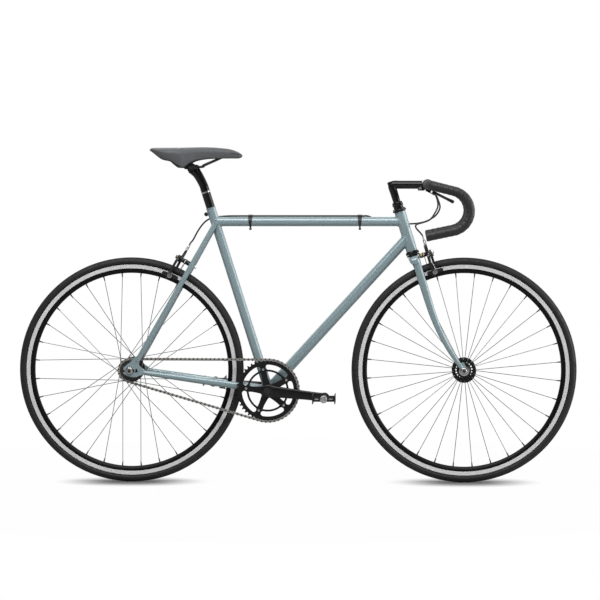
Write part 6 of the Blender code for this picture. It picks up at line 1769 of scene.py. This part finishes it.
    def spring(self):
        """A wire on each side of the spacer. The front brake also shows the springs' legs along its arms."""
        depth = sum(self.spacer()) / 2
        half = ((0.005, 0.006), (0.011, 0.008), (0.017, 0.001), (0.0205, -0.012), (0.0222, -0.028))
        spring = Shape()
        for side in WHICH:
            self.wire(
                spring, [(side * a, b, depth + 0.002 * k / 4) for k, (a, b) in enumerate(half)], 5, 0.002
            )
        piece(f"{self.name}_brake_spring", spring, self.carrier, "steel_bright")
        if self.rear:
            return
        half = (
            (0.0306, -0.01, -0.004), (0.0312, -0.025, -0.001), (0.031, -0.04, 0.002),
            (0.0296, -0.052, 0.004),
        )
        for side, which in WHICH.items():
            leg = self.wire(Shape(), [(side * a, b, self.out + c) for a, b, c in half], 5)
            piece(f"front_brake_spring_leg_{which}", leg, self.bodies[side], "steel_bright")

    def shoes(self):
        """Each shoe: a ribbed rubber block in a holder, held through the arm's slot by a nut on a washer."""
        centre = at(self.place, self.out, 0, -SHOE_DOWN)
        along = LEFT.cross((centre - self.wheel).normalized())
        block = filleted(((-0.025, -0.005), (0.025, -0.0056), (0.025, 0.0056), (-0.025, 0.005)), 0.0045)
        tray = filleted(rectangle(-0.0232, 0.0232, 0.006), 0.0045)
        face = 0.0125
        for side in (1, -1):
            body, which = self.bodies[side], WHICH[side]
            away = self.across * side
            level = along.cross(away)
            flat = place_of(centre, along, level, away * -1)
            pad = Shape().plate(block, -face - 0.005, -face, flat)
            ribs = place_of(centre, along, away, level)
            for k in (-2, -1, 0, 1, 2):
                middle = k * 0.0085
                pad.box(
                    (middle - 0.0032, face + 0.0002, -0.006), (middle + 0.0032, face + 0.003, 0.006), ribs
                )
            piece(f"{self.name}_brake_pad_{which}", pad, body, "pad_rubber", bevel=0.0006)
            holder = Shape().plate(tray, -face - 0.0085, -face - 0.0046, flat)
            piece(f"{self.name}_brake_shoe_{which}", holder, body, "cast_black", bevel=0.0009)
            nut = self.shoe_nut(place_of(centre, along, level * -1, away))
            piece(f"{self.name}_brake_shoe_nut_{which}", nut, body, ["steel_bright", "steel_dark"])

    def shoe_nut(self, out):
        nut = Shape().turned(((0.003, 0.019), (0.003, 0.0355), (0.0024, 0.0362)), 18, out)
        nut.turned(
            ((0.0032, 0.0292), (0.0072, 0.0292), (0.0075, 0.0296), (0.0075, 0.0304), (0.0032, 0.0306)), 28,
            out,
        )
        nut.mark = 1
        return hexagon(nut, 0.0046, 0.0306, 0.0346, out)


FRONT_BRAKE = STEERING @ Matrix.Translation((0, 0, -0.0213))
REAR_BRAKE = rear_brake_place()
FRONT_SHOES, REAR_SHOES = 0.0486, 0.0431  # ahead of the crown's middle, and behind the bridge's


def build_brakes():
    Caliper("front", FRONT_BRAKE, FRONT_SHOES, 0.016, FRONT_AXLE, "fork").build()
    Caliper("rear", REAR_BRAKE, REAR_SHOES, 0.0075, REAR_AXLE, "frame").build()


# Cables

HOUSING = 0.0025
REAR_START = (
    (0.411, -0.0454, 0.8745), (0.416, -0.04, 0.868), (0.424, -0.033, 0.85),
    (0.429, -0.018, 0.829), (0.42, -0.002, 0.809), (0.405, 0.011, 0.796), (0.386, 0.02, 0.7865),
    (0.36, 0.0255, 0.7805), (0.33, 0.027, 0.779), (0.3, 0.0265, 0.7795), (0.27, 0.025, 0.782),
    (0.2425, 0.02, 0.7881), (0.2225, 0.0128, 0.7985), (0.2115, 0.0062, 0.8027), (0.2035, 0.0018, 0.8035),
)
REAR_END = (
    (-0.212, 0.006, 0.8025), (-0.233, 0.016, 0.801), (-0.256, 0.0225, 0.7985),
    (-0.28, 0.026, 0.786), (-0.3, 0.029, 0.762), (-0.318, 0.03, 0.73),
)
FRONT_ROUTE = (
    (0.411, 0.0454, 0.8745), (0.415, 0.04, 0.868), (0.4215, 0.033, 0.85), (0.4225, 0.018, 0.8305),
    (0.4125, 0.0, 0.8094), (0.3985, -0.009, 0.7918), (0.38, -0.0135, 0.784), (0.364, -0.018, 0.7795),
    (0.356, -0.0265, 0.7742), (0.3585, -0.0322, 0.7655), (0.369, -0.032, 0.754),
)
HOUSING_LIFT = TOP_RADIUS + HOUSING + 0.0003  # of a housing's middle over the top tube's


def top_tube_top(x):
    """The middle of a housing that lies on the top tube."""
    share = (x - TOP_START.x) / (TOP_END.x - TOP_START.x)
    return TOP_START.lerp(TOP_END, share) + UP * HOUSING_LIFT


def horn_end(place, out):
    """Where a housing meets its brake's adjuster."""
    return at(place, out - HORN_BEHIND, -HORN_ASIDE, 0.0456)


def ferrule(end, inward):
    """A metal cap on the end of a housing."""
    shape = Shape().sweep([end, end + inward * 0.0105], 0.0031, 20, UP)
    return shape.sweep([end + inward * 0.0098, end + inward * 0.0112], 0.0033, 20, UP)


def housing_line(points):
    return resampled(smooth_path(points, 12), 0.0025)


def build_rear_housing():
    """It runs from the bar along the top tube to the rear brake, and is left free of the bodies."""
    end = horn_end(REAR_BRAKE, REAR_SHOES)
    up = REAR_BRAKE.col[2].xyz
    along_tube = [top_tube_top(x) for x in (0.195, 0.1, -0.04, -0.185)]
    line = housing_line([*REAR_START, *along_tube, *REAR_END, end + up * 0.012, end])
    rear = fine("rear_brake_housing", Shape().sweep(line, HOUSING, 16, UP), "frame", "housing_fine")
    rear.parent = None
    rear.matrix_world = IDENTITY
    del rear["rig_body"]
    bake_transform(rear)
    return line


def build_front_housing():
    end = horn_end(FRONT_BRAKE, FRONT_SHOES)
    up = FRONT_BRAKE.col[2].xyz
    line = housing_line([*FRONT_ROUTE, end + up * 0.01, end])
    fine("front_brake_housing", Shape().sweep(line, HOUSING, 16, UP), "fork", "housing_fine")
    return line


def build_housings():
    rear = build_rear_housing()
    front = build_front_housing()
    for name, body, finish, end, inward in (
        ("front_housing_lever", "fork", "steel_dark", front[0], front[2] - front[0]),
        ("rear_housing_lever", "fork", "steel_dark", rear[0], rear[2] - rear[0]),
        ("front_housing_caliper", "fork", "steel_bright", front[-1], front[-4] - front[-1]),
        ("rear_housing_caliper", "frame", "steel_bright", rear[-1], rear[-4] - rear[-1]),
    ):
        piece(f"{name}_ferrule", ferrule(end, inward.normalized()), body, finish)
    build_clip("rear", -0.142)
    build_clip("front", 0.188)


def build_clip(name, x):
    """A band that is wide over the housing and narrow below the tube, closed by a screw in a round boss."""
    tube = top_tube_top(x) - UP * HOUSING_LIFT
    facing = place_of(tube, LEFT, UP, FORWARD)

    def section(radius, angle, half, above):
        outer = radius + 0.0014
        points = [
            (*polar(r, angle), z)
            for r, z in ((radius, -half), (outer, -half), (outer, half), (radius, half))
        ]
        return [at(facing, across_tube, above + up, z) for across_tube, up, z in points]

    def band_half(angle):
        return 0.003 + 0.0036 * max(0.0, (math.sin(angle) + 0.85) / 1.85) ** 0.8

    clip = Shape()
    clip.loft([section(TOP_RADIUS + 0.0001, a, band_half(a), 0) for a in even_turn(72)], closed=True)
    over = [math.radians(-40 + 260 * i / 24) for i in range(25)]
    clip.loft([section(HOUSING + 0.0001, a, 0.0066, HOUSING_LIFT) for a in over])
    below = tube - UP * (TOP_RADIUS + 0.0074)
    clip.sweep([tube - UP * TOP_RADIUS, below + UP * 0.003], 0.0022, 16)
    boss = both_ways([(0.0016, -0.004), (0.0032, -0.0046), (0.004, -0.0038)])
    clip.turned(boss, 32, across(below), closed=True)
    fine(f"housing_clip_{name}", clip, "frame", "plastic_black", bevel=0.0004)
    screw = Shape().sweep([below - LEFT * 0.0042, below + LEFT * 0.0042], 0.0017, 20, UP)
    piece(f"housing_clip_screw_{name}", screw, "frame", "steel_bright")


# Seat

POST_CLAMP = Vector((-0.319847, 0.0, 0.950538))
NECK = ((0.0287, 0, -0.0395), (0.0172, 0, -0.02), (0.003, 0, -0.004))
NECK_RADII = ((1.0, 1.0), (1.0, 1.0), (0.98, 0.98), (1.01, 1.0), (1.08, 1.0), (1.3, 0.98))


def build_seatpost():
    """A straight post, a bright ring on it, and a head that leans back under the saddle's clamp."""
    radius = 0.0135
    straight = [at(SEAT, 0, 0, z) for z in (-0.2, 0.0, 0.05)]
    fine("seatpost", Shape().sweep(straight, radius, 48, UP), "seat", "gloss_black")
    bend = [at(SEAT, 0, 0, z) for z in (0.049, 0.06, 0.0686)]
    bend = smooth_path([*bend, *(POST_CLAMP + Vector(offset) for offset in NECK)], 6)
    radii = [(radius * deep, radius * wide) for deep, wide in smooth_pairs(NECK_RADII, 6)]
    neck = Shape().sweep(bend, radii, 48, LEFT)
    barrel, half = POST_CLAMP - UP * 0.0058, LEFT * 0.019
    neck.sweep([barrel - half, barrel + half], 0.0112, 48)
    piece("seatpost_head", neck, "seat", "gloss_black", sharp=50)
    ring = Shape().sweep([at(SEAT, 0, 0, 0.0462), at(SEAT, 0, 0, 0.0506)], radius + 0.0003, 48, UP)
    piece("seatpost_ring", ring, "seat", "steel_bright", bevel=0.0002)


def rail_path(side):
    """From the saddle's nose back. Each offset from the clamp is ahead, aside and up."""
    spread = 0.022
    line = (
        (0.116, 0.009, 0.0355), (0.1, 0.013, 0.032), (0.07, 0.018, 0.019), (0.04, spread, 0.006),
        (0.028, spread, 0.0), (-0.028, spread, 0.0), (-0.045, spread + 0.002, 0.006),
        (-0.08, spread + 0.008, 0.0385),
    )
    return [POST_CLAMP + Vector((ahead, side * aside, up)) for ahead, aside, up in line]


def build_saddle_mount():
    left, right = rail_path(1), rail_path(-1)
    nose = Vector((left[0].x + 0.006, 0, left[0].z + 0.0002))
    path = resampled(smooth_path(left[::-1] + [nose] + right, 8), 0.002)
    fine("saddle_rails", Shape().sweep(path, 0.0034, 20, UP), "seat", "gloss_black")

    clamp = Shape()
    for low, high, half in ((0.0004, 0.0069, 0.0215), (-0.0069, -0.0004, 0.02)):
        outline = filleted(((-half, low), (half, low), (half - 0.002, high), (-half + 0.002, high)), 0.002)
        clamp.plate(outline, -0.027, 0.027, drive_side(POST_CLAMP))
    barrel = both_ways([(0.002, -0.028), (0.0105, -0.028), (0.0115, -0.027)])
    clamp.turned(barrel, 48, across(POST_CLAMP))
    fine("saddle_clamp", clamp, "seat", "cast_black", bevel=0.001)
    head = ((0.006, 0.027), (0.0064, 0.029), (0.0058, 0.031), (0.0038, 0.0312), (0.0034, 0.029))
    bolts = Shape()
    for sign, sides in ((-1, 28), (1, 6)):
        bolts.turned(head, sides, mirrored(across(POST_CLAMP), sign))
    piece("saddle_clamp_bolt", bolts, "seat", "steel_dark", bevel=0.0003)


SADDLE_SECTIONS = (
    (-0.125, 0.014, 0.0545, 0.0495), (-0.115, 0.05, 0.0576, 0.0463), (-0.084, 0.07, 0.0582, 0.0238),
    (-0.056, 0.0725, 0.0583, 0.0165), (-0.031, 0.069, 0.0585, 0.0005), (-0.018, 0.063, 0.0588, 0.0),
    (0.0, 0.054, 0.0592, 0.014), (0.02, 0.043, 0.0597, 0.0212), (0.05, 0.032, 0.0596, 0.0255),
    (0.085, 0.0255, 0.0575, 0.0268), (0.118, 0.0215, 0.0534, 0.0272), (0.142, 0.0165, 0.0447, 0.0275),
    (0.154, 0.007, 0.0365, 0.0325),
)


def saddle_ring(x, half, top, edge):
    thick = top - edge
    crown = min(0.0055, 0.2 * thick)
    under = max(edge + 0.001, min(top - 0.018, 0.0365))
    profile = (
        (0.0, top), (0.3 * half, top - 0.05 * crown), (0.58 * half, top - 0.35 * crown),
        (0.8 * half, top - crown), (0.94 * half, top - crown - 0.07 * thick),
        (1.0 * half, top - crown - 0.2 * thick), (0.99 * half, top - 0.6 * thick),
        (0.955 * half, edge + min(0.0022, 0.15 * thick)), (0.93 * half, edge), (0.88 * half, edge + 0.0003),
        (0.79 * half, edge + 0.35 * (under - edge)), (0.6 * half, under), (0.0, under),
    )
    right = [(-aside, z) for aside, z in profile[-2:0:-1]]
    return [Vector((POST_CLAMP.x + x, aside, POST_CLAMP.z + z)) for aside, z in [*profile, *right]]


NOSE_START = 40  # the first section of the nose's seam


def build_saddle():
    """A padded cushion, the shell's edge under it and a seam along each side of its nose."""
    sections = smooth_path([(x, half, top) for x, half, top, _ in SADDLE_SECTIONS], 4)
    edges = smooth_path([(x, edge, 0) for x, _, _, edge in SADDLE_SECTIONS], 4)
    sections = [(section, edge.y) for section, edge in zip(sections, edges)]
    rings = [saddle_ring(*section, edge) for section, edge in sections]
    cushion = piece(
        "saddle_cushion", Shape().loft(rings), "seat", "saddle_cover_fine", "saddle", sharp=80, subdivide=1
    )

    trim, seam = Shape(), Shape()
    for side in (-1, 1):
        under = [
            POST_CLAMP + Vector((x, side * half * 0.905, edge - 0.0002))
            for (x, half, _), edge in sections
        ]
        trim.sweep(resampled(under[1:-1], 0.003), 0.0014, 10, UP, round_ends=0.001)
        nose = [
            POST_CLAMP + Vector((x, side * half * 1.003, top - 0.4 * (top - edge)))
            for (x, half, top), edge in sections[NOSE_START:-1]
        ]
        seam.sweep(resampled(nose, 0.003), 0.0007, 8, UP, round_ends=0.0006)
    piece("saddle_shell_edge", trim, "seat", "plastic_black")
    piece("saddle_nose_seam", seam, "seat", "pad_rubber")


# The studio

WORLD_LIGHT = 0.12
CONTACT = 0.5015


def area_lamp(name, spot, target, size, power, reflected=True):
    """A soft lamp. Glossy surfaces show it only where reflected is on."""
    lamp = bpy.data.lights.new(name, "AREA")
    lamp.shape, lamp.size, lamp.size_y = "RECTANGLE", size[0], size[1]
    lamp.energy = power
    obj = bpy.data.objects.new(name, lamp)
    bpy.context.scene.collection.objects.link(obj)
    obj.location = spot
    obj.rotation_euler = (Vector(target) - Vector(spot)).to_track_quat("-Z", "Y").to_euler()
    obj.visible_glossy, obj.visible_camera = reflected, False


def build_world():
    """White to the lens. Reflections see a bright room behind the bicycle and a dim one in front of it."""
    world = bpy.data.worlds.new("studio")
    bpy.context.scene.world = world
    world.use_nodes = True
    tree = Tree(world.node_tree)
    background = world.node_tree.nodes["Background"]
    background.inputs["Color"].default_value = (1, 1, 1, 1)
    toward = tree.node("ShaderNodeSeparateXYZ", {0: tree.node("ShaderNodeTexCoord").outputs["Generated"]})
    room = tree.span(toward.outputs["Y"], 0.04, 0.95, -0.35, 0.55, "SMOOTHSTEP")
    strength = tree.blended(tree.any_ray("Is Glossy Ray"), WORLD_LIGHT, room)
    strength = tree.blended(tree.any_ray("Is Camera Ray", "Is Transmission Ray"), strength, 1.0)
    world.node_tree.links.new(strength, background.inputs["Strength"])


PAINTED_SHADOW_REACH = (0.2, 0.13)  # of the painted shadow, the dark part round each tyre's contact
REFLECTED_WHITE = 0.35


def white_share(tree):
    """How much of the floor turns white: none at the tyres, leaving a painted shadow, all far off, and only
    as some rays see it.
    """
    spot = tree.node("ShaderNodeTexCoord").outputs["Object"]
    far = tree.vectors("LENGTH", spot)["Value"]
    aside = tree.vectors("SUBTRACT", tree.vectors("ABSOLUTE", spot)[0], (CONTACT, 0, 0))[0]
    aside = tree.vectors("MULTIPLY", aside, (1 / PAINTED_SHADOW_REACH[0], 1 / PAINTED_SHADOW_REACH[1], 0))[0]
    near = tree.vectors("LENGTH", aside)["Value"]
    near_share = tree.span(near, 0.0, 0.985, 0.3, 1.25, "SMOOTHSTEP")
    share = tree.math("MAXIMUM", near_share, tree.span(far, 0.0, 1.0, 0.9, 1.5, "SMOOTHSTEP"))
    reflected = tree.math("MULTIPLY", tree.any_ray("Is Glossy Ray"), REFLECTED_WHITE)
    seen = tree.math("MAXIMUM", tree.any_ray("Is Camera Ray", "Is Transmission Ray"), reflected)
    return tree.math("MULTIPLY", share, seen)


def build_floor():
    """A floor whose grey shows only round each tyre's contact, as a painted shadow with the real shadows on
    it, and white further out.
    """
    mesh = bpy.data.meshes.new("floor")
    reach = 40
    corners = [(-reach, -reach, 0), (reach, -reach, 0), (reach, reach, 0), (-reach, reach, 0)]
    mesh.from_pydata(corners, [], [(0, 1, 2, 3)])
    floor = bpy.data.objects.new("floor", mesh)
    bpy.context.scene.collection.objects.link(floor)
    floor.location.z = -0.0002
    made = bpy.data.materials.new("floor")
    made.use_nodes = True
    tree = Tree(made.node_tree)
    shader = made.node_tree.nodes["Principled BSDF"]
    # Grey floor colour: where it isn't turned white, round the tyres, it is a painted shadow.
    shader.inputs["Base Color"].default_value = (0.24, 0.24, 0.24, 1)
    shader.inputs["Roughness"].default_value = 0.9
    shader.inputs["Specular IOR Level"].default_value = 0.1
    white = tree.node("ShaderNodeEmission", {"Strength": 1.0})
    inputs = {0: white_share(tree), 1: shader.outputs[0], 2: white.outputs[0]}
    blend = tree.node("ShaderNodeMixShader", inputs)
    made.node_tree.links.new(blend.outputs[0], made.node_tree.nodes["Material Output"].inputs["Surface"])
    mesh.materials.append(made)


def build_studio():
    bpy.context.scene.view_settings.view_transform = "Standard"
    build_world()
    build_floor()
    area_lamp("key", (-0.3, -1.9, 3.1), (0, 0, 0.45), (3.6, 2.0), 106)
    area_lamp("back", (0.1, 3.6, 1.9), (0, 0, 0.1), (3.0, 0.6), 155, reflected=False)
    area_lamp("side", (3.2, -0.4, 1.1), (0.1, 0, 0.6), (2.6, 2.2), 58)
    area_lamp("front", (0.3, -5.0, 1.7), (0, 0, 0.5), (4.0, 1.6), 14, reflected=False)


EYE = (0.379, -8.37, 0.876)
LOOK_DOWN, LOOK_ASIDE = 1.366, 1.552
FOCAL_SHARE = 4.6325


def build_camera():
    camera = bpy.data.cameras.new("camera")
    obj = bpy.data.objects.new("camera", camera)
    bpy.context.scene.collection.objects.link(obj)
    bpy.context.scene.camera = obj
    obj.location = EYE
    obj.rotation_euler = (math.radians(90 - LOOK_DOWN), 0, math.radians(LOOK_ASIDE))
    camera.shift_x, camera.shift_y = -0.08, -0.07
    camera.sensor_width = 36
    camera.lens = camera.sensor_width * FOCAL_SHARE
    camera.clip_start, camera.clip_end = 0.1, 100


def build_frame():
    welds = Shape()
    build_head_tube()
    build_long_tubes(welds)
    build_seat_tube(welds)
    build_shell()
    for name, side in SIDES:
        build_track_end(name, side)
        build_seat_stay(name, side, welds)
        build_chain_stay(name, side, welds)
    build_brake_bridge(welds)
    piece("frame_weld_beads", welds, "frame", "frame_paint_fine", sharp=80)
    build_headset()
    build_bottom_bracket()
    build_binder_bolt()


def build_drive():
    build_chain()
    build_sprocket()
    build_chainring()
    build_crankset()
    for name, side in SIDES:
        build_pedal(name, side)


def build():
    for make in (make_paint, make_blacks, make_metals, make_track, make_rubbers, make_covers):
        make()
    build_camera()
    build_frame()
    build_wheels()
    build_drive()
    for part in (build_fork, build_stem, build_bar, build_levers, build_brakes, build_housings):
        part()
    for part in (build_seatpost, build_saddle_mount, build_saddle, build_studio):
        part()


build()
